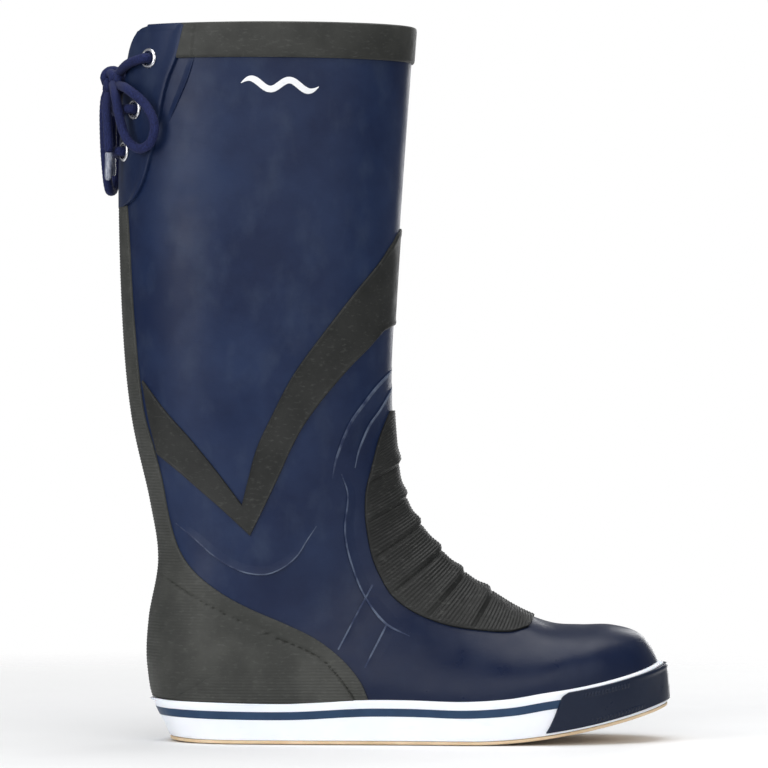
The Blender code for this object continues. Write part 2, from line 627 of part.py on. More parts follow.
def eyelets(holed):
    for number, (t, angle) in enumerate(eyelet_places()):
        side = "outer" if angle > 0 else "inner"
        where = ("top", "middle", "bottom")[number % 3]
        place = on_skin(t, angle, 0.0)
        axis = outward(t, angle).reshape(3)
        r, b, bore = EYELET_RADIUS, EYELET_BARREL, EYELET_BORE
        profile = ((bore, -6.4), (b, -6.4), (b, 2.0), (r, 2.0))
        profile += ((r - 0.3, 2.5), (b + 0.2, 2.9), (bore + 0.1, 2.5))
        for obj in holed:
            cut(obj, drill(place, axis, b + 0.25))
        turned(f"eyelet_{side}_{where}", profile, place, axis, "steel", 12)
        ring = ((b + 0.25, -6.3), (r, -6.3), (r, -5.7), (b + 0.25, -5.7))
        turned(f"eyelet_washer_{side}_{where}", ring, place, axis, "steel", 12)


def gusset():
    """The folded sheet behind the laced opening, from inside one flap to inside the other."""
    t = np.linspace(0.30, 1.42, 8)
    half = np.interp(t, [0.30, 1.0, 1.42], [0.98, 0.72, 0.50])
    share = np.linspace(-1, 1, 17)
    away = np.abs(share)
    depth = np.interp(away, [0, 0.2, 0.4, 0.72, 0.9, 1], [24.0, 20.5, 18.5, 17.0, 6.4, 5.6])
    angle = half[:, None] * share[None, :]
    top = skin(t[:, None], angle, -depth[None, :, None])
    low = skin(t[:, None], angle, -depth[None, :, None] - GUSSET_THICK)
    sheet("gusset", top, low, "charcoal_rubber")


# ---- the sole --------------------------------------------------------------------------------------


def base_height(x):
    """Height of the upper's base at x."""
    rows = section_values(np.linspace(HEEL_SECTION, TOE_SECTION, 200))
    return np.interp(x, rows[:, 0], rows[:, 1])


def level_line(share):
    """(t, angle) on the outer side, from the heel to the toe, of the line that runs at this share
    of the way from the upper's base (0) to the foxing's top edge (1)."""
    found = []
    angles = np.linspace(0, math.pi, 721)
    for t in np.linspace(6.5, TOE_SECTION - 0.01, 560):
        spots = last(t, angles)
        height = base_height(spots[:, 0]) * (1 - share) + foxing_top(spots[:, 0]) * share
        above = spots[:, 2] - height
        change = np.flatnonzero((above[:-1] <= 0) & (above[1:] > 0))
        if len(change):
            i = change[0]
            part = above[i] / (above[i] - above[i + 1])
            found.append((t, angles[i] + (angles[i + 1] - angles[i]) * part))
    ends = []
    t = np.linspace(6.5, TOE_SECTION - 0.01, 2000)
    for angle in (0.0, math.pi):
        spots = last(t, np.full(len(t), angle))
        height = base_height(spots[:, 0]) * (1 - share) + foxing_top(spots[:, 0]) * share
        ends.append((t[np.flatnonzero(spots[:, 2] < height)[0]], angle))
    middle = [spot for spot in found if ends[0][0] < spot[0] < ends[1][0]]
    return np.array([ends[0], *middle, ends[1]])


def turn_of(x):
    """How far round from heel to toe each x is, for x that runs from one end to the other."""
    share = (x - x.min()) / (x.max() - x.min())
    return np.arccos(1 - 2 * np.clip(share, 0, 1))


class Wall:
    """The foxing's outer face, by the turn from heel to toe and height from 0 (foot) to 1 (top)."""

    def __init__(self):
        self.lines = [self.by_turn(level_line(share)) for share in (1.0, 0.66, 0.33)]

    @staticmethod
    def by_turn(line):
        turn = turn_of(last(line[:, 0], line[:, 1])[:, 0])
        order = np.argsort(turn)
        return turn[order], line[order, 0], line[order, 1]

    def place(self, turn, level=0):
        """(t, angle) at these turns on the foxing's top line, or on a line below it."""
        fold = np.where(turn > math.pi, 2 * math.pi - turn, turn)
        side = np.where(turn > math.pi, -1.0, 1.0)
        turns, t, angle = self.lines[level]
        return np.interp(fold, turns, t), side * np.interp(fold, turns, angle)

    def rows(self, turn):
        """The face's foot, its middle and its top at these turns."""
        turn = np.asarray(turn, float) % (2 * math.pi)
        t, angle = self.place(turn)
        top = last(t, angle) + outward(t, angle) * (GAP + 2.3)
        middle = self.plan(turn, 0.0)
        middle[:, 2] = np.minimum(top[:, 2] - 4.0, base_height(middle[:, 0]) + 1.0)
        foot = self.plan(turn, taper)
        foot[:, 2] = ground(foot[:, 0]) + OUTSOLE_LIP
        return foot, middle, top

    def plan(self, turn, inset):
        """Points on the sole's inset outline at these turns, at height 0."""
        count = 720
        loop = plan_loop(inset, count)
        at = np.linspace(0, 2 * math.pi, count + 1)
        loop = np.vstack([loop, loop[:1]])
        x, y = np.interp(turn, at, loop[:, 0]), np.interp(turn, at, loop[:, 1])
        return np.column_stack([x, y, np.zeros(len(x))])

    def face(self, turn, share, out=0.0):
        """Points at a share of the height, 0 to 1, that stand out from the face."""
        turn, share = np.broadcast_arrays(np.asarray(turn, float), np.asarray(share, float))
        shape = turn.shape
        turn, share = turn.ravel(), share.ravel()
        spot = self.raw(turn, share)
        if np.any(np.asarray(out) != 0):
            step = 0.01
            along = self.raw(turn + step, share) - self.raw(turn - step, share)
            up = self.raw(turn, np.minimum(share + step, 1)) - self.raw(turn, np.maximum(share - step, 0))
            normal = np.cross(along, up)
            normal /= np.linalg.norm(normal, axis=1)[:, None]
            spot = spot + normal * np.broadcast_to(out, shape).ravel()[:, None]
        return spot.reshape(*shape, 3)

    def raw(self, turn, share):
        foot, middle, top = self.rows(turn)
        share = share[:, None]
        lower = foot + (middle - foot) * share * 2
        upper = middle + (top - middle) * (share * 2 - 1)
        return np.where(share < 0.5, lower, upper)

    def share_at(self, turn, height):
        """The share of the face's height at which it reaches a height above the ground plane."""
        foot, middle, top = self.rows(turn)
        low = (height - foot[:, 2]) / (middle[:, 2] - foot[:, 2]) / 2
        high = 0.5 + (height - middle[:, 2]) / (top[:, 2] - middle[:, 2]) / 2
        return np.clip(np.where(height < middle[:, 2], low, high), 0, 1)


def foxing_band(wall):
    turn = np.linspace(0, 2 * math.pi, 73)[:-1]
    foot, middle, top = wall.rows(turn)
    places = [wall.place(turn, level) for level in range(3)]
    inner = [last(t, angle) + outward(t, angle) * (GAP + 0.5) for t, angle in places]
    floor = wall.plan(turn, UPPER_INSET - GAP - 0.1)
    floor[:, 2] = base_height(floor[:, 0]) - GAP
    base = wall.plan(turn, lambda x: taper(x) + WALL)
    base[:, 2] = foot[:, 2]
    sections = [list(ring) for ring in zip(foot, middle, top, *inner, floor, base, strict=True)]
    loft("foxing_band", sections, "white_rubber")


def stripe(wall):
    end = 2.235
    turn = np.linspace(-end, end, 49) % (2 * math.pi)
    _, _, top = wall.rows(turn)
    high = wall.share_at(turn, top[:, 2] - STRIPE_DROP)
    low = wall.share_at(turn, top[:, 2] - STRIPE_DROP - STRIPE_HEIGHT)
    share = np.stack([low, high], axis=1)
    turns = np.repeat(turn[:, None], 2, axis=1)
    sheet("foxing_stripe", wall.face(turns, share, 1.4), wall.face(turns, share, 0.75), "navy_rubber")


def toe_bumper(wall):
    share = np.linspace(0, 1, 5)
    start = np.interp(share, [0, 0.2, 1], [2.25, 2.28, 2.36])
    turn = start[None, :] + (2 * math.pi - 2 * start)[None, :] * np.linspace(0, 1, 27)[:, None]
    grid = np.zeros_like(turn)
    for column in range(5):
        foot, _, top = wall.rows(turn[:, column])
        high, low = top[:, 2] - 3.6, foot[:, 2] + 1.0
        grid[:, column] = wall.share_at(turn[:, column], low + (high - low) * share[column])
    sheet("toe_bumper", wall.face(turn, grid, 1.8), wall.face(turn, grid, 0.5), "navy_rubber")


def level_loop(inset, height, count=72):
    loop = plan_loop(inset, count)
    return [(x, y, z) for (x, y), z in zip(loop, height(loop[:, 0]), strict=True)]


def inside(x, inset):
    """An inset that grows towards the toe and heel, to stay clear of the upper's round ends."""
    toe = np.clip((x - 100.0) / 58.0, 0, 1)
    heel = np.clip((-105.0 - x) / 25.0, 0, 1)
    return inset + 7.0 * toe**2 + 2.2 * heel


def midsole_top(x):
    """The upper's base, or where the midsole is at its thinnest if that is higher."""
    return np.maximum(base_height(x), ground(x) + OUTSOLE_THICK + 1.9) - GAP


def sole_stack():
    lip, thick = OUTSOLE_LIP, OUTSOLE_THICK
    stack(
        "outsole",
        (
            level_loop(lambda x: taper(x) + 0.9, ground),
            level_loop(taper, lambda x: ground(x) + 0.7),
            level_loop(taper, lambda x: ground(x) + lip - GAP),
            level_loop(lambda x: taper(x) + WALL + GAP, lambda x: ground(x) + lip - GAP + 0.05),
            level_loop(lambda x: taper(x) + WALL + GAP, lambda x: ground(x) + thick),
        ),
        "gum_rubber",
    )
    stack(
        "midsole",
        (
            level_loop(lambda x: taper(x) + WALL + 0.5, lambda x: ground(x) + thick + GAP),
            level_loop(UPPER_INSET + 0.3, midsole_top),
        ),
        "foam",
    )
    board = SHELL_THICK + GAP + LINING_THICK + GAP
    stack(
        "insole_board",
        (
            level_loop(lambda x: inside(x, 8.6), lambda x: base_height(x) + board),
            level_loop(lambda x: inside(x, 8.6), lambda x: base_height(x) + board + 1.6),
        ),
        "board",
    )
    bed = board + 1.6 + GAP
    stack(
        "footbed",
        (
            level_loop(lambda x: inside(x, 9.6), lambda x: base_height(x) + bed),
            level_loop(lambda x: inside(x, 9.2), lambda x: base_height(x) + bed + 1.5),
            level_loop(lambda x: inside(x, 9.2), lambda x: base_height(x) + bed + 3.5),
            level_loop(lambda x: inside(x, 10.6), lambda x: base_height(x) + bed + 4.5),
        ),
        "foam",
    )


def shank():
    """The steel strip let into the midsole's top under the arch."""
    x = np.linspace(-84.0, 34.0, 15)
    half = 7.0

    def bar(name, grow, low, high, look):
        top = [[(xi, s * (half + grow) - 3.0, base_height(xi) + high) for s in (-1, 0, 1)] for xi in x]
        under = [[(xi, s * (half + grow) - 3.0, base_height(xi) + low) for s in (-1, 0, 1)] for xi in x]
        for row in (top, under):
            row[0] = [(p[0] - grow, p[1], p[2]) for p in row[0]]
            row[-1] = [(p[0] + grow, p[1], p[2]) for p in row[-1]]
        return sheet(name, top, under, look)

    cut(bpy.data.objects["midsole"], bar("pocket", 0.4, -2.6, 6.0, "steel"))
    bar("shank", 0.0, -2.2, -0.8, "steel")


# ---- the lace -----------------------------------------------------------------------------------------


def lace():
    places = eyelet_places()
    top_o, mid_o, low_o, top_i, mid_i, low_i = places

    def through(place, inward):
        spots = [on_skin(*place, out) for out in (5.0, 2.5, -1.0, -4.5, -8.4)]
        return spots if inward else spots[::-1]

    def bar(a, b):
        """Points over the outside from one side's eyelet to the other's."""
        return [on_skin(a[0], a[1] * 0.55, 5.3), on_skin(a[0], 0.0, 4.7), on_skin(b[0], b[1] * 0.55, 5.3)]

    def behind(a, b, out):
        """A point at the middle of the opening, at the height halfway between two eyelets."""
        return [on_skin((a[0] + b[0]) / 2, 0.0, out)]

    knot = np.array(KNOT)
    route = [knot + (4.8, -7.6, 1.5), on_skin(0.24, 0.42, 6.8)]
    route += through(top_o, True) + behind(top_o, mid_i, -8.8) + through(mid_i, False)
    route += bar(mid_i, mid_o) + through(mid_o, True) + behind(mid_o, low_i, -8.8)
    route += through(low_i, False) + bar(low_i, low_o) + through(low_o, True)
    route += behind(low_o, top_i, -15.6) + through(top_i, False)
    route += [on_skin(0.24, -0.42, 6.8), knot + (4.8, 7.6, 1.5)]
    tube("lace_run", route, LACE_RADIUS, "navy_cord", 78)

    def off(x, z, out, side):
        t, angle = locate([(x, z)])[0]
        return on_skin(t, side * angle, out)

    near = [knot + (0.6, -9.4, -3.4), off(-150.0, 371.0, 11.0, 1), off(-148.8, 357.0, 9.5, 1)]
    near += [off(-146.6, 346.5, 8.0, 1), off(-141.0, 340.5, 7.0, 1), off(-134.6, 343.5, 7.0, 1)]
    near += [off(-132.0, 353.5, 7.5, 1), off(-136.2, 365.0, 8.5, 1), off(-143.0, 374.0, 12.0, 1)]
    near += [knot + (4.0, -12.8, -6.0)]
    tube("lace_loop_outer", near, LACE_RADIUS, "navy_cord", 22)
    far = [knot + (-1.6, 9.4, -3.0), (-167.6, 12.0, 371.5), (-168.2, 15.0, 352.0), (-167.2, 19.5, 331.0)]
    far += [(-165.8, 25.5, 319.5), (-163.8, 31.0, 320.0), (-162.4, 34.5, 332.0), (-162.4, 34.5, 352.0)]
    far += [(-161.2, 28.5, 367.5), knot + (3.8, 12.8, -6.0)]
    tube("lace_loop_inner", far, LACE_RADIUS, "navy_cord", 22)
    end_o = [knot + (-3.6, -4.2, -9.0), (-165.4, -12.2, 366.5), (-164.6, -17.4, 357.0)]
    end_o += [(-163.8, -20.8, 347.0), (-163.5, -21.8, 339.0)]
    tube("lace_end_outer", end_o, LACE_RADIUS, "navy_cord", 9)
    end_i = [knot + (-3.6, 3.6, -9.0), (-164.2, 6.0, 371.2), (-162.4, 11.2, 369.9), (-163.4, 17.0, 366.8)]
    end_i += [(-164.2, 22.8, 359.0), (-164.4, 25.2, 351.0), (-164.2, 25.8, 343.5)]
    tube("lace_end_inner", end_i, LACE_RADIUS, "navy_cord", 11)
    tip_o = np.array(((0, 0, -0.6), (-0.3, -0.2, -8), (-0.6, -0.4, -16)))
    tip_i = np.array(((0, 0, -0.6), (0.2, -0.1, -8), (0.4, -0.2, -16)))
    tube("aglet_outer", tip_o + end_o[-1], AGLET_RADIUS, "clear_plastic", 4)
    tube("aglet_inner", tip_i + end_i[-1], AGLET_RADIUS, "clear_plastic", 4)
    bow_knot(knot)


def bow_knot(knot):
    bm = bmesh.new()
    bmesh.ops.create_uvsphere(bm, u_segments=14, v_segments=9, radius=1.0)
    bmesh.ops.scale(bm, vec=(5.6 * MM, 8.2 * MM, 6.6 * MM), verts=bm.verts)
    bmesh.ops.translate(bm, vec=Vector(knot) * MM, verts=bm.verts)
    add_object("bow_knot", bm, "navy_cord")


def build():
    clear_scene()
    wall = Wall()
    leg = sock("leg_shell", 0.0, SHELL_THICK, "navy_rubber")
    vamp = sock("vamp_shell", 0.0, SHELL_THICK, "navy_rubber")
    cut(leg, seam_cutter(1, -GAP / 2))
    cut(vamp, seam_cutter(-1, GAP / 2))
    lining = sock("lining", SHELL_THICK + GAP, LINING_THICK, "grey_textile")
    rim_band()
    facings()
    chevron()
    instep_panel()
    heel_guard(wall)
    emblem()
    gusset()
    facing_o = bpy.data.objects["lace_facing_outer"]
    facing_i = bpy.data.objects["lace_facing_inner"]
    eyelets((leg, lining, facing_o, facing_i))
    foxing_band(wall)
    stripe(wall)
    toe_bumper(wall)
    sole_stack()
    shank()
    lace()


build()
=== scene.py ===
import math

import bmesh
import bpy
import numpy as np
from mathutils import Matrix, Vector


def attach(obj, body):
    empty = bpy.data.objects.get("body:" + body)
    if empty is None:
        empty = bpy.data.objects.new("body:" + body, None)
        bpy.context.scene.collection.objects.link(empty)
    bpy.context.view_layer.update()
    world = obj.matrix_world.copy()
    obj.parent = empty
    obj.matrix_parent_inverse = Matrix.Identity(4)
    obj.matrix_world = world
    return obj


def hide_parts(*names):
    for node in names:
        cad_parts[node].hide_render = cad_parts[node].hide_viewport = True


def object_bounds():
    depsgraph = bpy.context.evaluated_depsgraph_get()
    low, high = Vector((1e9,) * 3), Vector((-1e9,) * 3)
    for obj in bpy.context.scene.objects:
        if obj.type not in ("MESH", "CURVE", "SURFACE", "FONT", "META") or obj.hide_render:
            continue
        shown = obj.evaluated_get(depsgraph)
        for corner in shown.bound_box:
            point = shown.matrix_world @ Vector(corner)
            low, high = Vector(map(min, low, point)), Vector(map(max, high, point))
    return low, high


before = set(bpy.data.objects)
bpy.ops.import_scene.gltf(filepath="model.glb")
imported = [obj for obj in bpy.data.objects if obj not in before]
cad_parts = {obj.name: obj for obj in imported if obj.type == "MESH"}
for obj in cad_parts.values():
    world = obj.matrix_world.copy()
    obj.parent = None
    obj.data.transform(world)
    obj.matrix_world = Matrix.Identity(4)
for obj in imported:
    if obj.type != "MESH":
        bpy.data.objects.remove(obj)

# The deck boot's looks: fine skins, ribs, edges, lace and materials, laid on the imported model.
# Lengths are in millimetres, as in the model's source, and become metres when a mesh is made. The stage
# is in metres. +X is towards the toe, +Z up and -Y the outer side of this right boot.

CAD_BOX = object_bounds()
MM = 0.001
BOOT = "boot"
FOOTBED = "footbed_body"
ACROSS = 2 * math.pi

# ---- the surface of the upper, as the model has it ---------------------------------------------

# Sections from the rim to the toe tip: back x, back z, front x, front z, half width, place of the
# widest point (0 back, 1 front), fullness.
SECTIONS = (
    (-154.0, 411.0, 12.2, 411.0, 55.0, 0.50, 2.0),
    (-157.6, 331.5, 6.2, 328.5, 55.5, 0.50, 2.0),
    (-155.7, 246.5, 1.2, 252.5, 54.0, 0.49, 2.0),
    (-150.4, 188.5, -0.8, 208.5, 50.5, 0.48, 2.0),
    (-139.5, 138.5, 1.0, 172.5, 45.5, 0.46, 2.0),
    (-134.8, 104.5, 3.6, 149.5, 42.0, 0.44, 1.95),
    (-140.3, 70.5, 9.4, 133.5, 40.0, 0.42, 1.9),
    (-141.0, 42.5, 15.0, 124.5, 39.0, 0.40, 1.85),
    (-133.7, 20.0, 22.0, 115.5, 39.0, 0.38, 1.8),
    (-105.0, 18.0, 30.0, 106.0, 40.0, 0.34, 1.75),
    (-62.0, 16.5, 42.0, 95.3, 40.5, 0.30, 1.75),
    (-18.0, 13.5, 57.0, 85.0, 42.5, 0.28, 1.8),
    (22.0, 11.0, 74.0, 74.7, 46.5, 0.28, 1.9),
    (58.0, 10.5, 92.0, 67.8, 49.0, 0.30, 2.1),
    (90.0, 12.5, 109.0, 66.5, 47.0, 0.32, 2.3),
    (117.0, 16.5, 127.0, 66.3, 40.5, 0.34, 2.3),
    (138.0, 22.0, 143.5, 61.0, 29.5, 0.36, 2.2),
    (150.0, 27.5, 153.2, 47.5, 16.0, 0.40, 2.0),
    (155.0, 35.5, 155.0, 35.7, 0.0, 0.50, 2.0),
)
HEEL_SECTION = 8
TOE_SECTION = len(SECTIONS) - 1
UPPER_END_T = 16.85

SOLE_HEEL_X = -137.5
SOLE_LENGTH = 296.0
SOLE_FULLNESS = ((0.0, 72.0), (0.68, 57.0), (1.0, 46.5), (1.3, 41.5), (1.57, 43.5), (1.84, 52.0))
SOLE_FULLNESS += ((2.13, 59.0), (2.4, 64.0), (2.7, 69.0), (math.pi, 74.0))
SOLE_CENTRE = ((-137.5, 0.0), (-90.0, 0.0), (-30.0, -3.5), (40.0, -1.5), (100.0, 4.0), (158.5, 9.0))
UPPER_INSET = 3.7
WALL = 3.0

TREAD_FLAT_END = 45.0
TOE_SPRING = 19.2
TOE_SPRING_POWER = 1.85
HEEL_BEVEL_START = -112.0
HEEL_BEVEL = 0.8
HEEL_TAPER = 8.5
SIDE_TAPER = 2.0
TOE_TAPER = -1.0
OUTSOLE_THICK = 4.6
OUTSOLE_LIP = 2.0
FOXING_TOP = ((-138.0, 24.4), (-105.0, 23.4), (-60.0, 23.2), (-19.0, 25.3), (8.0, 25.4), (40.0, 24.6))
FOXING_TOP += ((66.0, 26.2), (86.0, 29.4), (104.0, 32.0), (124.0, 36.0), (144.0, 41.4), (158.5, 47.0))
GAP = 0.35
STRIPE_DROP = 4.6
STRIPE_HEIGHT = 4.6

SHELL_THICK = 2.0
LINING_DEPTH = 3.4  # the lining's inner face, under the upper's outer face
NOTCH_ANGLE = 0.33
NOTCH_END_T = 1.17
NOTCH_CORNER = 0.27
CORNER_T = 0.25
EYELET_SPOTS = ((-138.8, 392.5), (-147.1, 363.7), (-153.3, 339.9))
EYELET_RADIUS = 5.8
EYELET_BORE = 3.6
LACE_DIAMETER = 5.0
AGLET_RADIUS = 2.2
KNOT = (-162.3, -1.0, 383.2)

# Outlines seen from the side, as (x, z).
FACING_EDGE = ((-118.5, 410.9), (-122.4, 394.3), (-128.5, 378.5), (-132.5, 361.7), (-136.9, 340.9))
FACING_EDGE += ((-141.9, 323.1), (-147.3, 312.9), (-153.6, 308.2))
GUARD_EDGE = ((-152.7, 308.7), (-151.1, 284.4), (-149.9, 261.6), (-148.5, 241.8), (-145.7, 211.1))
GUARD_EDGE += ((-142.6, 188.3), (-137.4, 170.2), (-132.8, 152.3), (-127.9, 126.9), (-122.4, 110.4))
GUARD_EDGE += ((-113.5, 98.1), (-98.1, 86.2), (-82.2, 77.6), (-61.0, 68.4), (-44.8, 60.4))
GUARD_EDGE += ((-33.2, 52.0), (-24.1, 43.1), (-18.0, 34.7), (-14.6, 26.5), (-13.4, 21.0))
COUNTER_EDGE = ((-142.0, 103.0), (-121.4, 88.0), (-98.4, 74.9), (-82.3, 67.5), (-61.0, 57.7))
COUNTER_EDGE += ((-39.7, 46.9), (-23.6, 28.0), (-10.0, 4.0))
ARM_TOP = ((-86.3, 137.0), (-82.9, 150.7), (-77.9, 169.0), (-69.2, 187.8), (-56.9, 211.2))
ARM_TOP += ((-38.4, 236.9), (-21.2, 259.2), (-6.4, 278.1), (2.5, 294.3))
ARM_FOOT = ((-81.7, 119.3), (-76.6, 129.6), (-64.4, 155.3), (-58.3, 169.0), (-50.9, 182.7))
ARM_FOOT += ((-39.4, 198.6), (-24.6, 216.0), (-13.8, 227.2), (-1.1, 242.6))
BACK_ARM_TOP = ((-143.5, 208.1), (-130.0, 190.4), (-115.7, 174.5), (-100.2, 155.6), (-86.5, 137.3))
BACK_ARM_FOOT = ((-134.8, 165.7), (-122.8, 156.1), (-111.6, 146.4), (-99.6, 136.1), (-81.8, 119.5))
PANEL_EDGE = ((-2.0, 190.3), (-8.1, 175.0), (-12.1, 159.6), (-15.6, 145.3), (-16.3, 133.2))
PANEL_EDGE += ((-15.0, 120.1), (-12.1, 106.4), (-8.1, 96.6), (-1.3, 85.2), (8.2, 77.2), (19.4, 71.5))
PANEL_EDGE += ((33.7, 67.0), (50.2, 64.6), (67.0, 63.7), (77.8, 66.1))
PANEL_RIDGES = ((4.6, 163.6), (8.1, 143.8), (15.7, 127.6), (26.6, 111.9), (40.5, 100.0), (55.6, 88.7))
EMBLEM = ((-86.5, 377.2), (-42.3, 375.2))

# Edges of the rubber sheets under the lacquer: the step's line, then the line where it has died away.
LAPS = {
    "leg_lap": (
        ((0.6, 216.0), (-10.1, 204.9), (-17.4, 195.4), (-25.6, 183.3), (-33.0, 163.9), (-35.0, 152.0)),
        ((4.0, 208.0), (-3.0, 196.0), (-11.0, 186.0), (-18.0, 176.0), (-25.5, 160.0), (-31.0, 151.0)),
    ),
    "instep_lap": (
        ((0.4, 206.5), (-8.1, 191.5), (-14.4, 182.4), (-19.9, 169.0), (-22.0, 158.0)),
        ((3.5, 199.0), (-3.0, 186.0), (-9.0, 176.0), (-15.0, 163.0), (-19.5, 156.0)),
    ),
    "tongue_lap": (
        ((-29.8, 154.4), (-26.6, 143.2), (-28.2, 121.8), (-25.0, 104.4), (-16.8, 84.0), (-5.0, 68.6),
         (9.4, 61.5)),
        ((-26.0, 155.0), (-20.5, 143.0), (-21.5, 122.5), (-18.5, 107.0), (-10.5, 88.5), (1.0, 75.5),
         (10.5, 64.5)),
    ),
    "waist_lap": (
        ((-12.2, 91.1), (-22.0, 73.0), (-31.8, 54.3)),
        ((-5.0, 88.0), (-15.0, 70.0), (-26.0, 52.0)),
    ),
    "toe_lap": (
        ((-4.0, 68.6), (-10.0, 57.0), (-16.6, 44.0)),
        ((3.0, 66.0), (-3.0, 54.0), (-10.5, 42.5)),
    ),
    "ankle_lap": (
        ((-124.9, 125.8), (-113.9, 117.2), (-103.6, 108.1), (-92.7, 101.2), (-83.4, 97.6), (-72.5, 96.9),
         (-63.0, 100.6), (-54.7, 107.5), (-49.2, 116.1), (-43.7, 124.5)),
        ((-122.0, 128.5), (-110.5, 121.0), (-100.0, 112.5), (-90.5, 106.5), (-82.0, 103.5), (-72.5, 103.0),
         (-66.0, 105.5), (-59.0, 110.5), (-53.5, 118.0), (-46.5, 125.5)),
    ),
    "facing_lap": (
        ((-112.6, 394.0), (-117.0, 380.0), (-122.6, 367.0), (-129.0, 353.5)),
        ((-116.5, 394.0), (-121.5, 380.0), (-126.6, 367.0), (-131.5, 352.5)),
    ),
}


def smooth_through(knots, values):
    """A function that runs smoothly through the values at the knots, which rise."""
    k = np.asarray(knots, float)
    v = np.asarray(values, float).reshape(len(k), -1)
    slope = np.empty_like(v)
    slope[1:-1] = (v[2:] - v[:-2]) / (k[2:] - k[:-2])[:, None]
    slope[0] = (v[1] - v[0]) / (k[1] - k[0])
    slope[-1] = (v[-1] - v[-2]) / (k[-1] - k[-2])

    def at(x):
        x = np.clip(np.atleast_1d(np.asarray(x, float)), k[0], k[-1])
        i = np.clip(np.searchsorted(k, x, side="right") - 1, 0, len(k) - 2)
        step = (k[i + 1] - k[i])[:, None]
        u = (x[:, None] - k[i][:, None]) / step
        start = (2 * u**3 - 3 * u**2 + 1) * v[i] + (u**3 - 2 * u**2 + u) * step * slope[i]
        end = (3 * u**2 - 2 * u**3) * v[i + 1] + (u**3 - u**2) * step * slope[i + 1]
        return (start + end).squeeze(-1) if v.shape[1] == 1 else start + end

    return at


def pairs(points):
    """smooth_through for a list of (x, value)."""
    return smooth_through(*zip(*points, strict=True))


sole_fullness = pairs(SOLE_FULLNESS)
sole_centre = pairs(SOLE_CENTRE)
foxing_top = pairs(FOXING_TOP)
section_values = smooth_through(range(len(SECTIONS)), SECTIONS)
heel_taper = ((SOLE_HEEL_X, HEEL_TAPER), (-118.0, 5.0), (-85.0, SIDE_TAPER))
taper = pairs(heel_taper + ((110.0, SIDE_TAPER), (158.5, TOE_TAPER)))


def ease(x):
    """0 below 0, 1 above 1 and a smooth rise between."""
    x = np.clip(x, 0, 1)
    return x * x * (3 - 2 * x)


def ground(x):
    """Height of the tread's underside."""
    spring = np.clip((x - TREAD_FLAT_END) / (SOLE_HEEL_X + SOLE_LENGTH - TREAD_FLAT_END), 0, None)
    bevel = np.clip((HEEL_BEVEL_START - x) / (HEEL_BEVEL_START - SOLE_HEEL_X - HEEL_TAPER), 0, None)
    return TOE_SPRING * spring**TOE_SPRING_POWER + HEEL_BEVEL * bevel**1.5


def plan_loop(inset, count):
    """The sole's outline, inset by so much (a number, or one for each x), as a closed loop of
    points from the heel along the outer side to the toe and back along the inner side."""
    turn = np.linspace(0, math.pi, count // 2 + 1)
    x = SOLE_HEEL_X + SOLE_LENGTH * (1 - np.cos(turn)) / 2
    half = np.sin(turn) * sole_fullness(turn)
    outer = np.column_stack([x, sole_centre(x) - half])
    inner = np.column_stack([x, sole_centre(x) + half])
    loop = np.vstack([outer, inner[-2:0:-1]])
    along = np.roll(loop, -1, 0) - np.roll(loop, 1, 0)
    normal = np.column_stack([along[:, 1], -along[:, 0]])
    normal /= np.linalg.norm(normal, axis=1)[:, None]
    amount = inset(loop[:, 0]) if callable(inset) else np.full(len(loop), float(inset))
    return loop - normal * amount[:, None]


def sides_of(loop):
    """A loop's outer and inner sides, both from heel to toe."""
    half = len(loop) // 2
    return loop[: half + 1], np.vstack([loop[half:], loop[:1]])[::-1]


BASE_OUTER, BASE_INNER = sides_of(plan_loop(UPPER_INSET, 1200))


def last(t, angle):
    """Points on the upper's outer face. t runs over the sections, and the angle from 0 at the back
    or base, by the outer side, to pi at the front; a negative angle, or one past pi, is the inner side."""
    t, angle = (a.ravel() for a in np.broadcast_arrays(np.asarray(t, float), np.asarray(angle, float)))
    row = section_values(t)
    back, front, wide, widest, full = row[:, 0:2], row[:, 2:4], row[:, 4], row[:, 5], row[:, 6]
    edge_outer = np.interp(back[:, 0], BASE_OUTER[:, 0], BASE_OUTER[:, 1])
    edge_inner = np.interp(back[:, 0], BASE_INNER[:, 0], BASE_INNER[:, 1])
    base = np.where(t > HEEL_SECTION - 0.5, (edge_inner - edge_outer) / 2, 0)
    base = np.where(back[:, 0] > SOLE_HEEL_X + UPPER_INSET, base, 0)
    middle = np.where(base > 0, (edge_inner + edge_outer) / 2, sole_centre(back[:, 0]))
    wide = np.maximum(wide, base * 1.01 + 1e-6)
    share = (1 - np.cos(angle)) / 2
    low = np.clip((widest - share) / widest, 0, 1)
    high = np.clip((share - widest) / (1 - widest), 0, 1)
    below = np.sqrt(np.clip(1 - (1 - (base / wide) ** 2) * low**2, 0, None))
    above = np.sqrt(np.clip(1 - high**full, 0, None))
    width = wide * np.where(share < widest, below, above)
    lean = np.clip(front[:, 0] / 110.0, 0, 1)
    centre = middle * (1 - share) + sole_centre(front[:, 0]) * lean * share
    across = back + (front - back) * share[:, None]
    side = np.where(np.sin(angle) >= -1e-12, -1.0, 1.0)
    return np.column_stack([across[:, 0], centre + side * width, across[:, 1]])


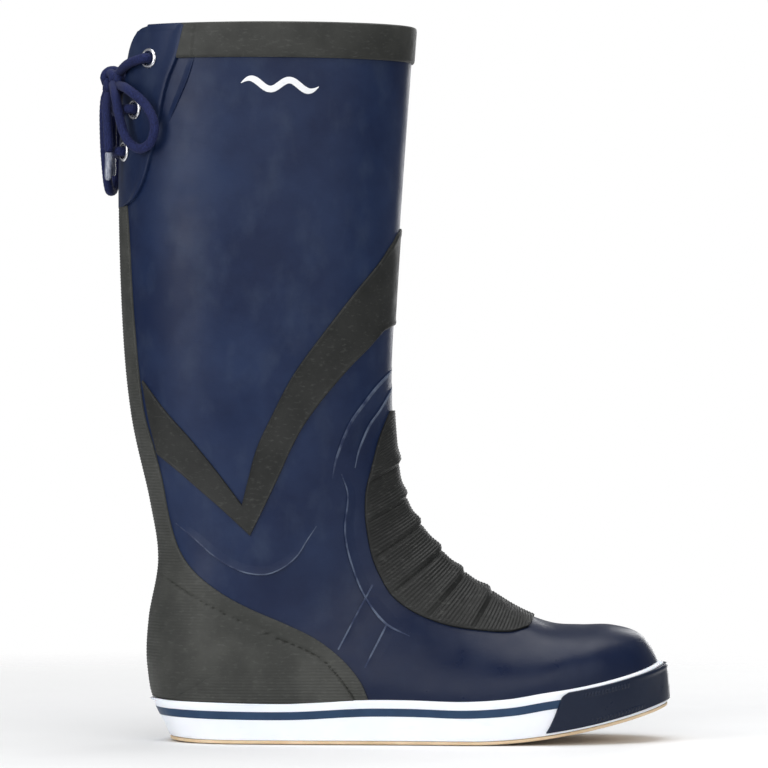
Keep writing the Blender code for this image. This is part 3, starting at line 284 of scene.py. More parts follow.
def outward(t, angle):
    """Unit normals of the upper's outer face."""
    step = 0.015
    t, angle = np.broadcast_arrays(np.asarray(t, float), np.asarray(angle, float))
    shape = t.shape
    t, angle = t.ravel(), angle.ravel()
    along = last(np.minimum(t + step, TOE_SECTION), angle) - last(np.maximum(t - step, 0), angle)
    foot = (t > HEEL_SECTION) & (np.abs(np.sin(angle)) < step) & (np.cos(angle) > 0)
    around = last(t, angle + step) - last(t, np.where(foot, angle, angle - step))
    normal = np.cross(around, along)
    row = section_values(t)
    middle = np.column_stack([(row[:, 0] + row[:, 2]) / 2, np.zeros(len(t)), (row[:, 1] + row[:, 3]) / 2])
    flip = np.sign(np.einsum("ij,ij->i", normal, last(t, angle) - middle))
    normal *= np.where(flip == 0, 1, flip)[:, None]
    length = np.linalg.norm(normal, axis=1)[:, None]
    return (normal / np.maximum(length, 1e-12)).reshape(*shape, 3)


def skin(t, angle, out):
    """A grid of points that stand out from the upper's outer face, by one distance or one for each."""
    t, angle, out = np.broadcast_arrays(*(np.asarray(values, float) for values in (t, angle, out)))
    return last(t, angle).reshape(*t.shape, 3) + outward(t, angle) * out[..., None]


def locate(points):
    """(t, angle) on the outer side of points given as (x, z) seen from the side."""
    t = np.linspace(0, TOE_SECTION, 1801)
    row = section_values(t)
    back, chord = row[:, 0:2], row[:, 2:4] - row[:, 0:2]
    found = []
    for x, z in points:
        to = np.array([x, z]) - back
        side = chord[:, 0] * to[:, 1] - chord[:, 1] * to[:, 0]
        change = np.flatnonzero((side[:-1] <= 0) & (side[1:] > 0))
        i = int(change[0]) if len(change) else int(np.abs(side).argmin())
        part = side[i] / (side[i] - side[i + 1]) if len(change) else 0.0
        share = (to[i] @ chord[i]) / (chord[i] @ chord[i])
        if len(change):
            share_next = (to[i + 1] @ chord[i + 1]) / (chord[i + 1] @ chord[i + 1])
            share += (share_next - share) * part
        place = t[i] + part * (t[1] - t[0])
        found.append((place, math.acos(1 - 2 * min(1.0, max(0.0, share)))))
    return np.array(found)


def walk_along(places):
    """How far along each point of a path is."""
    return np.concatenate([[0], np.cumsum(np.linalg.norm(np.diff(places, axis=0), axis=1))])


def side_curve(points, count):
    """(t, angle) of points on a smooth curve seen from the side, evenly spread over the upper."""
    spots = np.array(points, float)
    run = walk_along(spots)
    found = locate(smooth_through(run, spots)(np.linspace(0, run[-1], 240)))
    walk = walk_along(last(found[:, 0], found[:, 1]))
    at = np.linspace(0, walk[-1], count)
    return np.column_stack([np.interp(at, walk, found[:, 0]), np.interp(at, walk, found[:, 1])])


def base_height(x):
    """Height of the upper's base at x."""
    rows = section_values(np.linspace(HEEL_SECTION, TOE_SECTION, 400))
    return np.interp(x, rows[:, 0], rows[:, 1])


def notch_edge(t):
    """The angle of the laced opening's edge, and 0 below it."""
    t = np.asarray(t, float)
    narrowing = np.clip(1 - t / NOTCH_END_T, 0, 1)
    corner = np.clip(1 - t / CORNER_T, 0, 1)
    return NOTCH_ANGLE * narrowing**0.9 + NOTCH_CORNER * (1 - np.sqrt(1 - corner**2))


# ---- making pieces ------------------------------------------------------------------------------

WELD = 0.02  # millimetres within which a piece's points are one


def weld(points, faces):
    """The same surface with its coinciding points joined, and where each point went."""
    _, first, joined = np.unique(
        np.round(points / WELD).astype(int), axis=0, return_index=True, return_inverse=True
    )
    joined = joined.reshape(-1)
    kept = []
    for face in joined[faces]:
        corners = list(dict.fromkeys(face.tolist()))
        if len(corners) > 2:
            kept.append(corners)
    return points[first], kept, first


def grid_quads(rows, cols, start=0, wrap=False, close=False):
    """The faces of a grid of points. Each row is a ring if wrap is set, and the last row meets the
    first if close is set."""
    index = start + np.arange(rows * cols).reshape(rows, cols)
    if close:
        index = np.vstack([index, index[:1]])
    if wrap:
        index = np.hstack([index, index[:, :1]])
    quads = np.stack([index[:-1, :-1], index[:-1, 1:], index[1:, 1:], index[1:, :-1]], axis=-1)
    return quads.reshape(-1, 4)


def add_piece(name, points, faces, look, body=BOOT, stands_for=(), slot=None, sharp_deg=38.0):
    mesh = bpy.data.meshes.new(name)
    mesh.from_pydata((np.asarray(points) * MM).tolist(), [], faces)
    mesh.update()
    bm = bmesh.new()
    bm.from_mesh(mesh)
    bmesh.ops.recalc_face_normals(bm, faces=bm.faces)
    bm.to_mesh(mesh)
    bm.free()
    mesh.shade_smooth()
    mesh.set_sharp_from_angle(angle=math.radians(sharp_deg))
    mesh.materials.append(look)
    obj = bpy.data.objects.new(name, mesh)
    bpy.context.scene.collection.objects.link(obj)
    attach(obj, body)
    if stands_for:
        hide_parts(*stands_for)
    return obj


def sheets(name, grids, look, **facts):
    """A closed solid of layers: each is a grid for its outer face and one for its inner face, and
    layers whose outer faces meet are joined."""
    points, under, quads = [], [], []
    count = 0
    for top, low in grids:
        rows, cols = top.shape[:2]
        quads.append(grid_quads(rows, cols, count))
        points.append(top.reshape(-1, 3))
        under.append(low.reshape(-1, 3))
        count += rows * cols
    points, under = np.vstack(points), np.vstack(under)
    outer, faces, first = weld(points, np.vstack(quads))
    inner = under[first]
    edges = {}
    for face in faces:
        for a, b in zip(face, face[1:] + face[:1], strict=True):
            edges[(min(a, b), max(a, b))] = None if (min(a, b), max(a, b)) in edges else (a, b)
    shift = len(outer)
    walls = [(b, a, a + shift, b + shift) for pair in edges.values() if pair for a, b in [pair]]
    backs = [[v + shift for v in reversed(face)] for face in faces]
    return add_piece(name, np.vstack([outer, inner]), faces + backs + walls, look, **facts)


def rings(name, loops, look, **facts):
    """A solid through closed loops of the same count, the first and last closed by ladders."""
    loops = np.array(loops, float)
    rows, cols = loops.shape[:2]
    faces = grid_quads(rows, cols, wrap=True).tolist()
    for start in (0, (rows - 1) * cols):
        for i in range(cols // 2):
            ladder = (i, i + 1, (cols - i - 1) % cols, (cols - i) % cols)
            faces.append([start + v for v in dict.fromkeys(ladder)])
    return add_piece(name, loops.reshape(-1, 3), faces, look, **facts)


def lofted(name, sections, look, **facts):
    """A closed ring of closed sections, each the same number of points."""
    sections = np.array(sections, float)
    faces = grid_quads(*sections.shape[:2], wrap=True, close=True).tolist()
    return add_piece(name, sections.reshape(-1, 3), faces, look, **facts)


def turned(name, profile, place, axis, look, steps=40, **facts):
    """A round piece: a closed profile of (radius, height) turned about the axis through place."""
    angles = np.linspace(0, ACROSS, steps, endpoint=False)
    radius, height = np.array(profile, float).T
    east, north = np.outer(np.cos(angles), radius), np.outer(np.sin(angles), radius)
    ring = np.stack([east, north, np.tile(height, (steps, 1))], axis=-1)
    turn = np.array(Vector(axis).to_track_quat("Z", "Y").to_matrix())
    return lofted(name, ring @ turn.T + np.asarray(place), look, **facts)


def even_path(points, step):
    """A smooth path through the points with a point about every step millimetres."""
    spots = np.array(points, float)
    run = walk_along(spots)
    fine = smooth_through(run, spots)(np.linspace(0, run[-1], 20 * len(spots)))
    walk = walk_along(fine)
    at = np.linspace(0, walk[-1], max(6, int(walk[-1] / step)))
    return np.column_stack([np.interp(at, walk, fine[:, i]) for i in range(3)])


def carried_frames(path):
    """Two unit vectors across the path at each point, carried along it without twisting."""
    ahead = np.gradient(path, axis=0)
    ahead /= np.linalg.norm(ahead, axis=1)[:, None]
    side = np.cross(ahead[0], (0.3, 0.9, 0.2))
    sides = []
    for direction in ahead:
        side = side - direction * (side @ direction)
        side = side / np.linalg.norm(side)
        sides.append(side)
    sides = np.array(sides)
    return sides, np.cross(ahead, sides)


BRAID_PITCH = 5.2  # length of lace in which a strand crosses the next one twice
BRAID_STRANDS = 8
BRAID_RADIUS = LACE_DIAMETER / 2 + 0.3  # over the tops of the strands
BRAID_STEP = 0.55
BRAID_SHARP = 80.0


def braided_tube(points, around):
    """A path through the points, and rings round it whose relief is that of crossing strands."""
    path = even_path(points, BRAID_STEP)
    one, two = carried_frames(path)
    walk = walk_along(path)[:, None]
    angle = np.linspace(0, ACROSS, around, endpoint=False)[None, :]
    wind = ACROSS * walk / BRAID_PITCH
    strands = np.cos(BRAID_STRANDS / 2 * angle + wind) * np.cos(BRAID_STRANDS / 2 * angle - wind)
    end = np.minimum(walk, walk[-1] - walk) / BRAID_RADIUS
    rounded = np.sqrt(np.clip(1 - (1 - np.clip(end, 0.04, 1)) ** 2, 0, 1))
    radius = BRAID_RADIUS * (0.95 + 0.07 * np.abs(strands)) * rounded
    east, north = np.cos(angle)[..., None] * one[:, None], np.sin(angle)[..., None] * two[:, None]
    return path, path[:, None] + radius[..., None] * (east + north)


# ---- materials ----------------------------------------------------------------------------------


WAVE_RATE = 20.0  # radians that Blender's wave texture turns in one of its units


class Look:
    """A material built node by node on one Principled shader."""

    def __init__(self, name, colour, rough, **inputs):
        self.material = bpy.data.materials.new(name)
        self.material.use_nodes = True
        self.tree = self.material.node_tree
        self.shader = self.tree.nodes["Principled BSDF"]
        self.shader.inputs["Base Color"].default_value = (*colour, 1.0)
        self.shader.inputs["Roughness"].default_value = rough
        for key, value in inputs.items():
            self.shader.inputs[key.replace("_", " ")].default_value = value
        self.place = self.tree.nodes.new("ShaderNodeTexCoord").outputs["Object"]
        self.material.diffuse_color = (*colour, 1.0)

    def link(self, out, into):
        self.tree.links.new(out, into)

    def stretched(self, scale):
        """Object coordinates scaled by one number for each axis."""
        node = self.tree.nodes.new("ShaderNodeMapping")
        node.inputs["Scale"].default_value = scale
        self.link(self.place, node.inputs["Vector"])
        return node.outputs["Vector"]

    def noise(self, size_mm, detail=3.0, stretch=(1, 1, 1), rough=0.55):
        """Cloudy noise whose blotches are about so many millimetres across."""
        node = self.tree.nodes.new("ShaderNodeTexNoise")
        node.inputs["Scale"].default_value = 1000.0 / size_mm
        node.inputs["Detail"].default_value = detail
        node.inputs["Roughness"].default_value = rough
        self.link(self.stretched(stretch), node.inputs["Vector"])
        return node.outputs["Fac"]

    def waves(self, pitch_mm, axis, wobble=0.0):
        """Bands of that pitch along an axis."""
        node = self.tree.nodes.new("ShaderNodeTexWave")
        node.bands_direction = axis
        node.inputs["Scale"].default_value = ACROSS / (WAVE_RATE * pitch_mm * MM)
        node.inputs["Distortion"].default_value = wobble
        self.link(self.place, node.inputs["Vector"])
        return node.outputs["Fac"]

    def spread(self, value, low, high, out_low=0.0, out_high=1.0):
        """The value's range from low to high, made to run over another range."""
        node = self.tree.nodes.new("ShaderNodeMapRange")
        ends = {"From Min": low, "From Max": high, "To Min": out_low, "To Max": out_high}
        for key, number in ends.items():
            node.inputs[key].default_value = number
        self.link(value, node.inputs["Value"])
        return node.outputs["Result"]

    def along(self, direction, start, end):
        """Runs from 0 to 1 between two distances, in metres, along a direction in the part's frame."""
        node = self.tree.nodes.new("ShaderNodeVectorMath")
        node.operation = "DOT_PRODUCT"
        self.link(self.place, node.inputs[0])
        node.inputs[1].default_value = direction
        return self.spread(node.outputs["Value"], start, end)

    def maths(self, kind, a, b):
        node = self.tree.nodes.new("ShaderNodeMath")
        node.operation = kind
        for value, socket in zip((a, b), node.inputs, strict=False):
            if isinstance(value, (int, float)):
                socket.default_value = value
            else:
                self.link(value, socket)
        return node.outputs["Value"]

    def colours(self, factor, first, second):
        """A colour between two, by the factor. Each is a tuple or another colour's output."""
        node = self.tree.nodes.new("ShaderNodeMix")
        node.data_type = "RGBA"
        self.link(factor, node.inputs["Factor"])
        for value, end in ((first, "A"), (second, "B")):
            socket = next(s for s in node.inputs if s.name == end and s.type == "RGBA")
            if isinstance(value, tuple):
                socket.default_value = (*value, 1.0)
            else:
                self.link(value, socket)
        return node.outputs["Result"]

    def mottle(self, size_mm, detail, low, high, first, second):
        """A colour between two, in blotches of noise that runs from one to the other over a range."""
        return self.colours(self.spread(self.noise(size_mm, detail), low, high), first, second)

    def paint(self, colour):
        self.link(colour, self.shader.inputs["Base Color"])

    def gloss(self, value):
        self.link(value, self.shader.inputs["Roughness"])

    def uneven_gloss(self, size_mm, detail, low, high):
        """Roughness from low to high, by noise of that size."""
        self.gloss(self.spread(self.noise(size_mm, detail), 0.3, 0.7, low, high))

    def bump(self, height, depth_mm, strength):
        """Adds relief of that depth on top of what is there."""
        node = self.tree.nodes.new("ShaderNodeBump")
        node.inputs["Distance"].default_value = depth_mm * MM
        node.inputs["Strength"].default_value = strength
        self.link(height, node.inputs["Height"])
        before = self.shader.inputs["Normal"].links
        if before:
            self.link(before[0].from_socket, node.inputs["Normal"])
        self.link(node.outputs["Normal"], self.shader.inputs["Normal"])


def navy_rubber(name, dark, pale):
    """Lacquered navy rubber: slow waves from the last, a bloom that pales it, fine dust and painted shade
    towards the forefoot.
    """
    look = Look(name, dark, 0.40, Specular_IOR_Level=0.23)
    bloom = look.spread(look.noise(58, 6, rough=0.62), 0.40, 0.68)
    dust = look.spread(look.noise(15, 6, (1, 1, 0.6)), 0.52, 0.80)
    # Painted shade darkens the colour towards the forefoot and lower down, where the rubber is also
    # glossier than the leg.
    forefoot = look.along((1.0, 0.0, -0.5), -0.14, -0.01)
    painted_shade = tuple(0.62 * share for share in dark)
    base = look.colours(look.maths("MULTIPLY", forefoot, 0.8), look.colours(bloom, dark, pale), painted_shade)
    # Painted shade also thins the pale dust towards the forefoot.
    dust_and_painted_shade = look.maths("MULTIPLY", dust, look.spread(forefoot, 0.0, 1.0, 0.32, 0.12))
    look.paint(look.colours(dust_and_painted_shade, base, (0.042, 0.060, 0.100)))
    matt = look.spread(look.noise(14, 5), 0.3, 0.7, 0.36, 0.50)
    look.gloss(look.maths("SUBTRACT", matt, look.maths("MULTIPLY", forefoot, 0.09)))
    look.bump(look.noise(30, 2), 0.55, 0.5)
    look.bump(look.noise(2.6, 3, (0.7, 0.7, 1.9)), 0.075, 0.6)
    look.bump(look.noise(0.9, 3), 0.03, 0.6)
    return look.material


def mottled(name, colour, rough, blotches, tones, grain, **inputs):
    """A plain material: blotches (size, detail, range) between two tones, and a grain (size, detail,
    depth, strength) for its relief."""
    look = Look(name, colour, rough, **inputs)
    look.paint(look.mottle(*blotches, *tones))
    look.bump(look.noise(*grain[:2]), *grain[2:])
    return look.material


def stripe_rubber():
    tones = ((0.010, 0.034, 0.082), (0.015, 0.044, 0.100))
    grain = (1.0, 3, 0.03, 0.5)
    colour = (0.013, 0.040, 0.105)
    return mottled("stripe_rubber", colour, 0.42, (12, 4, 0.35, 0.7), tones, grain, Specular_IOR_Level=0.3)


def charcoal_rubber(name, dark, pale):
    """Matt rubber: olive charcoal between two tones, paler where it is rubbed."""
    look = Look(name, dark, 0.52, Specular_IOR_Level=0.30)
    patches = look.spread(look.noise(24, 4), 0.38, 0.68)
    rubbed = look.spread(look.noise(2.2, 6, (0.6, 0.6, 1.5)), 0.56, 0.80)
    base = look.colours(patches, dark, pale)
    look.paint(look.colours(look.maths("MULTIPLY", rubbed, 0.35), base, (0.110, 0.112, 0.104)))
    look.uneven_gloss(7, 4, 0.48, 0.64)
    look.bump(look.noise(0.8, 3), 0.06, 0.7)
    return look.material


def navy_wear_and_highlight():
    """The edges of the navy sheets: paler here and there, partly rubbed wear and partly a painted
    highlight along the steps.
    """
    tones = ((0.010, 0.019, 0.058), (0.085, 0.110, 0.165))
    grain = (0.9, 3, 0.04, 0.6)
    colour = (0.030, 0.045, 0.090)
    return mottled("navy_wear_and_highlight", colour, 0.45, (11, 4, 0.38, 0.62), tones, grain, Specular_IOR_Level=0.3)


def white_rubber():
    """White foxing: faintly blue, with grey scuffs in streaks."""
    look = Look("white_rubber", (0.80, 0.83, 0.89), 0.40, Subsurface_Weight=0.06, Subsurface_Scale=0.002)
    scuffs = look.spread(look.noise(7, 6, (0.5, 0.5, 2.2)), 0.60, 0.82)
    base = look.mottle(30, 3, 0.3, 0.7, (0.80, 0.84, 0.91), (0.86, 0.88, 0.92))
    look.paint(look.colours(look.maths("MULTIPLY", scuffs, 0.30), base, (0.55, 0.56, 0.58)))
    look.uneven_gloss(10, 4, 0.34, 0.48)
    look.bump(look.noise(0.9, 3), 0.03, 0.5)
    return look.material


def gum_rubber():
    look = Look("gum_rubber", (0.66, 0.45, 0.24), 0.55, Subsurface_Weight=0.12, Subsurface_Scale=0.003)
    base = look.mottle(22, 4, 0.35, 0.7, (0.62, 0.45, 0.27), (0.76, 0.59, 0.40))
    specks = look.spread(look.noise(1.4, 2), 0.66, 0.74)
    look.paint(look.colours(look.maths("MULTIPLY", specks, 0.5), base, (0.36, 0.22, 0.10)))
    look.uneven_gloss(6, 4, 0.48, 0.66)
    look.bump(look.noise(0.7, 3), 0.05, 0.6)
    return look.material


def knit_lining():
    """Grey brushed jersey: its courses run round the leg, half hidden by loose fibres."""
    look = Look("knit_lining", (0.20, 0.205, 0.215), 0.9, Sheen_Weight=0.35, Sheen_Roughness=0.5)
    courses = look.waves(3.6, "Z", 2.0)
    loops = look.spread(look.noise(1.7, 3, (1, 1, 1.4)), 0.3, 0.7)
    stitches = look.maths("MULTIPLY", courses, loops)
    base = look.colours(stitches, (0.11, 0.115, 0.125), (0.27, 0.275, 0.285))
    fuzz = look.spread(look.noise(1.6, 5), 0.5, 0.8)
    look.paint(look.colours(look.maths("MULTIPLY", fuzz, 0.5), base, (0.36, 0.365, 0.375)))
    look.bump(stitches, 0.5, 0.8)
    look.bump(look.noise(0.6, 4), 0.2, 0.5)
    return look.material


def coated_cloth():
    """The gusset: tight black weave under a thin rubber coat."""
    look = Look("coated_cloth", (0.022, 0.023, 0.024), 0.5, Specular_IOR_Level=0.35)
    weave = look.maths("MULTIPLY", look.waves(1.8, "Z", 0.4), look.waves(1.8, "Y", 0.4))
    base = look.colours(weave, (0.015, 0.016, 0.018), (0.034, 0.035, 0.036))
    look.paint(look.colours(look.spread(look.noise(9, 4), 0.4, 0.8, 0, 0.5), base, (0.06, 0.062, 0.064)))
    look.bump(weave, 0.14, 0.7)
    look.bump(look.noise(8, 3), 0.7, 0.6)
    return look.material


def braided_cord():
    """Navy polyester: each strand is a bundle of filaments."""
    look = Look("braided_cord", (0.010, 0.015, 0.062), 0.75, Specular_IOR_Level=0.18, Sheen_Weight=0.04)
    filaments = look.noise(0.55, 4, (1, 1, 0.35))
    lit = look.spread(filaments, 0.35, 0.7)
    look.paint(look.colours(lit, (0.0055, 0.0085, 0.040), (0.0175, 0.0260, 0.105)))
    look.bump(filaments, 0.25, 0.8)
    return look.material


def footbed_cloth():
    look = Look("footbed_cloth", (0.05, 0.055, 0.07), 0.9, Sheen_Weight=0.3)
    weave = look.maths("MULTIPLY", look.waves(2.6, "X", 0.3), look.waves(2.6, "Y", 0.3))
    base = look.colours(weave, (0.030, 0.034, 0.046), (0.085, 0.092, 0.110))
    look.paint(look.colours(look.spread(look.noise(28, 4), 0.45, 0.8, 0, 0.4), base, (0.13, 0.13, 0.14)))
    look.bump(weave, 0.3, 0.8)
    return look.material


def bright_metal():
    look = Look("bright_metal", (0.80, 0.80, 0.83), 0.24, Metallic=1.0)
    look.uneven_gloss(1.8, 4, 0.18, 0.34)
    look.paint(look.mottle(2.4, 3, 0.4, 0.8, (0.84, 0.84, 0.87), (0.66, 0.66, 0.69)))
    look.bump(look.noise(0.5, 3), 0.02, 0.5)
    return look.material


def spring_steel():
    look = Look("spring_steel", (0.55, 0.55, 0.57), 0.34, Metallic=1.0)
    brushed = look.noise(0.9, 3, (0.05, 1, 1))
    look.gloss(look.spread(brushed, 0.3, 0.7, 0.26, 0.44))
    look.bump(brushed, 0.03, 0.5)
    return look.material


def clear_tip():
    """The lace's tips: clear film shrunk over the cord."""
    look = Look("clear_tip", (0.30, 0.32, 0.40), 0.22, Coat_Weight=0.8, Coat_Roughness=0.12)
    look.shader.inputs["Transmission Weight"].default_value = 0.25
    seen_through = look.spread(look.noise(0.8, 3, (1, 1, 0.3)), 0.35, 0.7)
    look.paint(look.colours(seen_through, (0.16, 0.18, 0.27), (0.46, 0.49, 0.56)))
    look.bump(look.noise(1.6, 3), 0.08, 0.5)
    return look.material


def white_print():
    tones = ((0.85, 0.86, 0.88), (0.58, 0.60, 0.66))
    grain = (0.8, 3, 0.04, 0.5)
    return mottled("white_print", (0.84, 0.85, 0.87), 0.45, (2.2, 5, 0.62, 0.78), tones, grain)


def pressed_board():
    tones = ((0.36, 0.28, 0.19), (0.50, 0.40, 0.28))
    grain = (0.9, 4, 0.1, 0.6)
    return mottled("pressed_board", (0.42, 0.33, 0.23), 0.85, (1.5, 5, 0.4, 0.7), tones, grain)


def cell_foam():
    tones = ((0.07, 0.07, 0.08), (0.12, 0.12, 0.13))
    grain = (0.8, 4, 0.2, 0.7)
    return mottled("cell_foam", (0.09, 0.09, 0.10), 0.9, (1.2, 3, 0.4, 0.7), tones, grain)


def pale_floor():
    """A white floor that fades out into the backdrop away from the boot."""
    look = Look("pale_floor", (0.90, 0.90, 0.90), 0.7)
    look.paint(look.colours(look.noise(60, 3), (0.89, 0.89, 0.89), (0.92, 0.92, 0.92)))
    far = look.tree.nodes.new("ShaderNodeVectorMath")
    far.operation = "LENGTH"
    look.link(look.place, far.inputs[0])
    look.link(look.spread(far.outputs["Value"], 0.35, 0.95, 1.0, 0.0), look.shader.inputs["Alpha"])
    return look.material


# ---- the upper ------------------------------------------------------------------------------------


def strip(low, high, shares):
    """Values at those shares of the way from low to high, for each row."""
    return low[:, None] + (high - low)[:, None] * np.asarray(shares)[None, :]


def between(low, high, shares):
    """t and angle at those shares of the way between two lines of (t, angle)."""
    return strip(low[:, 0], high[:, 0], shares), strip(low[:, 1], high[:, 1], shares)


def layer(t, angle, out, under):
    """A sheet's outer and inner faces, at those distances off the upper's outer face."""
    return skin(t, angle, out), skin(t, angle, under)


def bevelled(count, edge, thick, sink=0.4):
    """Shares across a layer and its outer face's heights: both its edges are square but rounded.
    edge is the share of the width that a rounded edge takes."""
    start = np.array([0, 0, edge * 0.12, edge * 0.4])
    shares = np.concatenate([start, np.linspace(edge, 1 - edge, count), 1 - start[::-1]])
    rise = np.array([-sink, thick * 0.62, thick * 0.86, thick * 0.97])
    heights = np.concatenate([rise, np.full(count, thick), rise[::-1]])
    return shares, heights


RUBBER_END_T = 17.5  # where the rubber upper ends, behind the foxing


def upper_rows(density, end):
    """The rows' t from the rim to the toe, finer where sections are further apart."""
    legs = np.linspace(0, 3, int(120 * density), endpoint=False)
    ankle = np.linspace(3, HEEL_SECTION, int(90 * density), endpoint=False)
    foot = np.linspace(HEEL_SECTION, end, int(135 * density))
    return np.concatenate([legs, ankle, foot])


def upper_grid(density, end, columns, outer, inner):
    """A layer round the whole upper, from one edge of the laced opening to the other."""
    t = upper_rows(density, end)
    start = notch_edge(t)[:, None]
    angle = start + (ACROSS - 2 * start) * np.linspace(0, 1, columns)[None, :]
    angle[:, -1] = np.minimum(angle[:, -1], ACROSS - 1e-9)
    return layer(t[:, None], angle, outer, inner)


def rubber_upper(looks):
    grid = upper_grid(1.0, RUBBER_END_T, 150, 0.0, -SHELL_THICK + 0.1)
    nodes = ("leg_shell", "vamp_shell")
    sheets("rubber_upper", [grid], looks["navy"], stands_for=nodes, slot="navy_rubber")


def lining(looks):
    grid = upper_grid(0.7, UPPER_END_T, 110, -SHELL_THICK - 0.1, -LINING_DEPTH)
    sheets("knit_lining", [grid], looks["knit"], stands_for=("lining",), slot="knit_lining")


def rim_ends():
    """Two pairs of angles, at the rim's top and at its band's foot: where the band comes out from
    under the flap, and where its end laps over its start."""
    spots = locate([(-119.9, 410.9), (-123.4, 393.8), (-112.6, 410.9), (-114.2, 393.8)])[:, 1]
    return spots[:2], spots[2:]


RIM_FOOT_T = 0.236  # the rim band's lower edge


def rim_binding(looks):
    """The band folded over the rim: up the outside, over the edge and down the lining."""
    (top, foot), (lap_top, lap_foot) = rim_ends()
    # Each row of the fold: t, distance off the upper's face, and height above the rim.
    fold = np.array([
        (RIM_FOOT_T, 0.0, 0.0), (RIM_FOOT_T, 1.0, 0.0), (0.230, 1.5, 0.0), (0.215, 1.75, 0.0),
        (0.16, 1.75, 0.0), (0.08, 1.75, 0.0), (0.01, 1.7, 0.0), (0.0, 1.45, 0.55), (0.0, 0.9, 1.0),
        (0.0, 0.0, 1.25), (0.0, -1.6, 1.3), (0.0, -3.2, 1.15), (0.0, -3.95, 0.7), (0.0, -4.25, 0.0),
        (0.03, -4.3, 0.0), (0.085, -4.25, 0.0), (0.095, -3.9, 0.0), (0.095, -3.2, 0.0),
    ])
    t, out, lift = fold.T
    down = np.clip(t / RIM_FOOT_T, 0, 1)
    start = top + (foot - top) * down
    lap_at = lap_top + (lap_foot - lap_top) * down
    shares = np.concatenate([np.linspace(0, 0.08, 50)[:-1], np.linspace(0.08, 1, 170)])
    angle = strip(start, ACROSS - start, shares)
    lap = 0.5 * ease((lap_at[:, None] - angle) / 0.012 + 0.5) * (out > 0.5)[:, None]
    outer = skin(t[:, None], angle, out[:, None] + lap)
    outer[..., 2] += lift[:, None]
    under = skin(t[:, None], angle, np.clip(out, -LINING_DEPTH + 0.1, 0.0)[:, None])
    facts = {"stands_for": ("rim_band",), "slot": "charcoal_rubber"}
    sheets("rim_binding", [(outer, under)], looks["charcoal"], **facts)


def facings(looks):
    """The flaps beside the opening: folded round its edge, and lifted a little at their front."""
    spots = side_curve(FACING_EDGE, 200)
    t = np.concatenate([np.linspace(0.0, CORNER_T, 26)[:-1], np.linspace(CORNER_T, spots[-1, 0], 90)])
    edge = np.interp(t, spots[:, 0], spots[:, 1])
    notch = notch_edge(t)
    start = np.maximum(notch, 0.035)
    edge = np.maximum(edge, start + 0.03)
    # The fold at the notch: how far round from its edge, and distance off the upper's face.
    fold = np.array([
        (0.068, -3.3), (0.064, -4.0), (0.04, -4.1), (0.008, -4.05), (-0.008, -3.7), (-0.016, -2.8),
        (-0.0192, -1.6), (-0.0184, -0.2), (-0.0112, 0.9), (0.0, 1.45),
    ])
    shares, heights = bevelled(26, 0.05, 1.55)
    shares, heights = shares[4:], heights[4:]
    lift = 0.9 * ease((shares - 0.8) / 0.2)
    fold_on = ease(notch / 0.05)[:, None]
    around = start[:, None] + np.where(fold[None, :, 0] > 0, 1.0, fold_on) * fold[None, :, 0]
    angle = np.hstack([around, strip(start + 0.008, edge, shares)])
    # Below the notch the flap starts flat on the leg, without its fold.
    folded = fold_on * fold[:, 1] + (1 - fold_on) * np.linspace(-0.4, 1.45, len(fold))
    out = np.hstack([folded, np.tile(heights + lift, (len(t), 1))])
    rim = ease(1 - t / 0.02)[:, None]
    # The strip over the flap's top edge: t, distance off the upper's face, height above it.
    cap = np.array([
        (0.055, -3.3, 0.0), (0.055, -3.9, 0.0), (0.0, -3.95, 0.5), (0.0, -3.2, 1.05), (0.0, -1.3, 1.3),
        (0.0, 0.7, 1.2), (0.0, 1.5, 0.8), (0.0, 1.75, 0.0), (0.03, 1.75, 0.0), (0.05, 1.3, 0.0),
    ])
    cap_t, cap_out, cap_lift = cap.T
    cap_ends = notch_edge(cap_t) - 0.004, np.full(len(cap), edge[0] - 0.004)
    cap_angle = strip(*cap_ends, np.linspace(0, 1, 30))
    for name, side in (("outer", 1), ("inner", -1)):
        top = skin(t[:, None], side * angle, out)
        top[..., 2] += 0.9 * rim * np.clip(1 - np.abs(out + 1.3) / 3.2, 0, 1)
        under_out = np.clip(out, -LINING_DEPTH + 0.2, 0.0)
        under = skin(t[:, None], side * np.maximum(angle, start[:, None] + 0.004), under_out)
        node = f"lace_facing_{name}"
        sheets(f"facing_{name}", [(top, under)], looks["navy"], stands_for=(node,), slot="navy_rubber")
        cap_under = np.clip(cap_out, -3.2, 0.0)[:, None]
        over, beneath = layer(cap_t[:, None], side * cap_angle, cap_out[:, None], cap_under)
        over[..., 2] += cap_lift[:, None]
        sheets(f"flap_cap_{name}", [(over, beneath)], looks["navy"], slot="navy_rubber")


def lap_edges(looks):
    """The steps where one rubber sheet laps over the next, on both sides of the boot."""
    count = 90
    shares = (0, 0, 0.02, 0.06, 0.14, 0.3, 0.5, 0.75, 1.0)
    heights = np.array([-0.3, 0.66, 0.88, 0.90, 0.74, 0.50, 0.27, 0.06, -0.12])
    wear_and_highlight = slice(1, 5)  # the columns of the step's shoulder, painted paler: partly rubbed wear, partly a painted highlight
    along = np.linspace(0, 1, count)
    fade = ease(np.minimum(along / 0.25 + 0.15, (1 - along) / 0.3))[:, None]
    out = np.where(heights > 0, heights * fade, heights)
    for name, (edge, end) in LAPS.items():
        t, angle = between(side_curve(edge, count), side_curve(end, count), shares)
        for side_name, side in (("outer", 1), ("inner", -1)):
            step = layer(t, side * angle, out, -0.6)
            sheets(f"{name}_{side_name}", [step], looks["navy"], slot="navy_rubber")
            if name == "facing_lap":
                continue
            # The shoulder gets the paler look: partly rubbed wear, partly a painted highlight along the
            # step.
            rubbed = out[:, wear_and_highlight]
            shoulder = layer(t[:, wear_and_highlight], side * angle[:, wear_and_highlight], rubbed + 0.05, rubbed - 0.2)
            sheets(f"{name}_edge_{side_name}", [shoulder], looks["wear_and_highlight"], slot="navy_rubber")


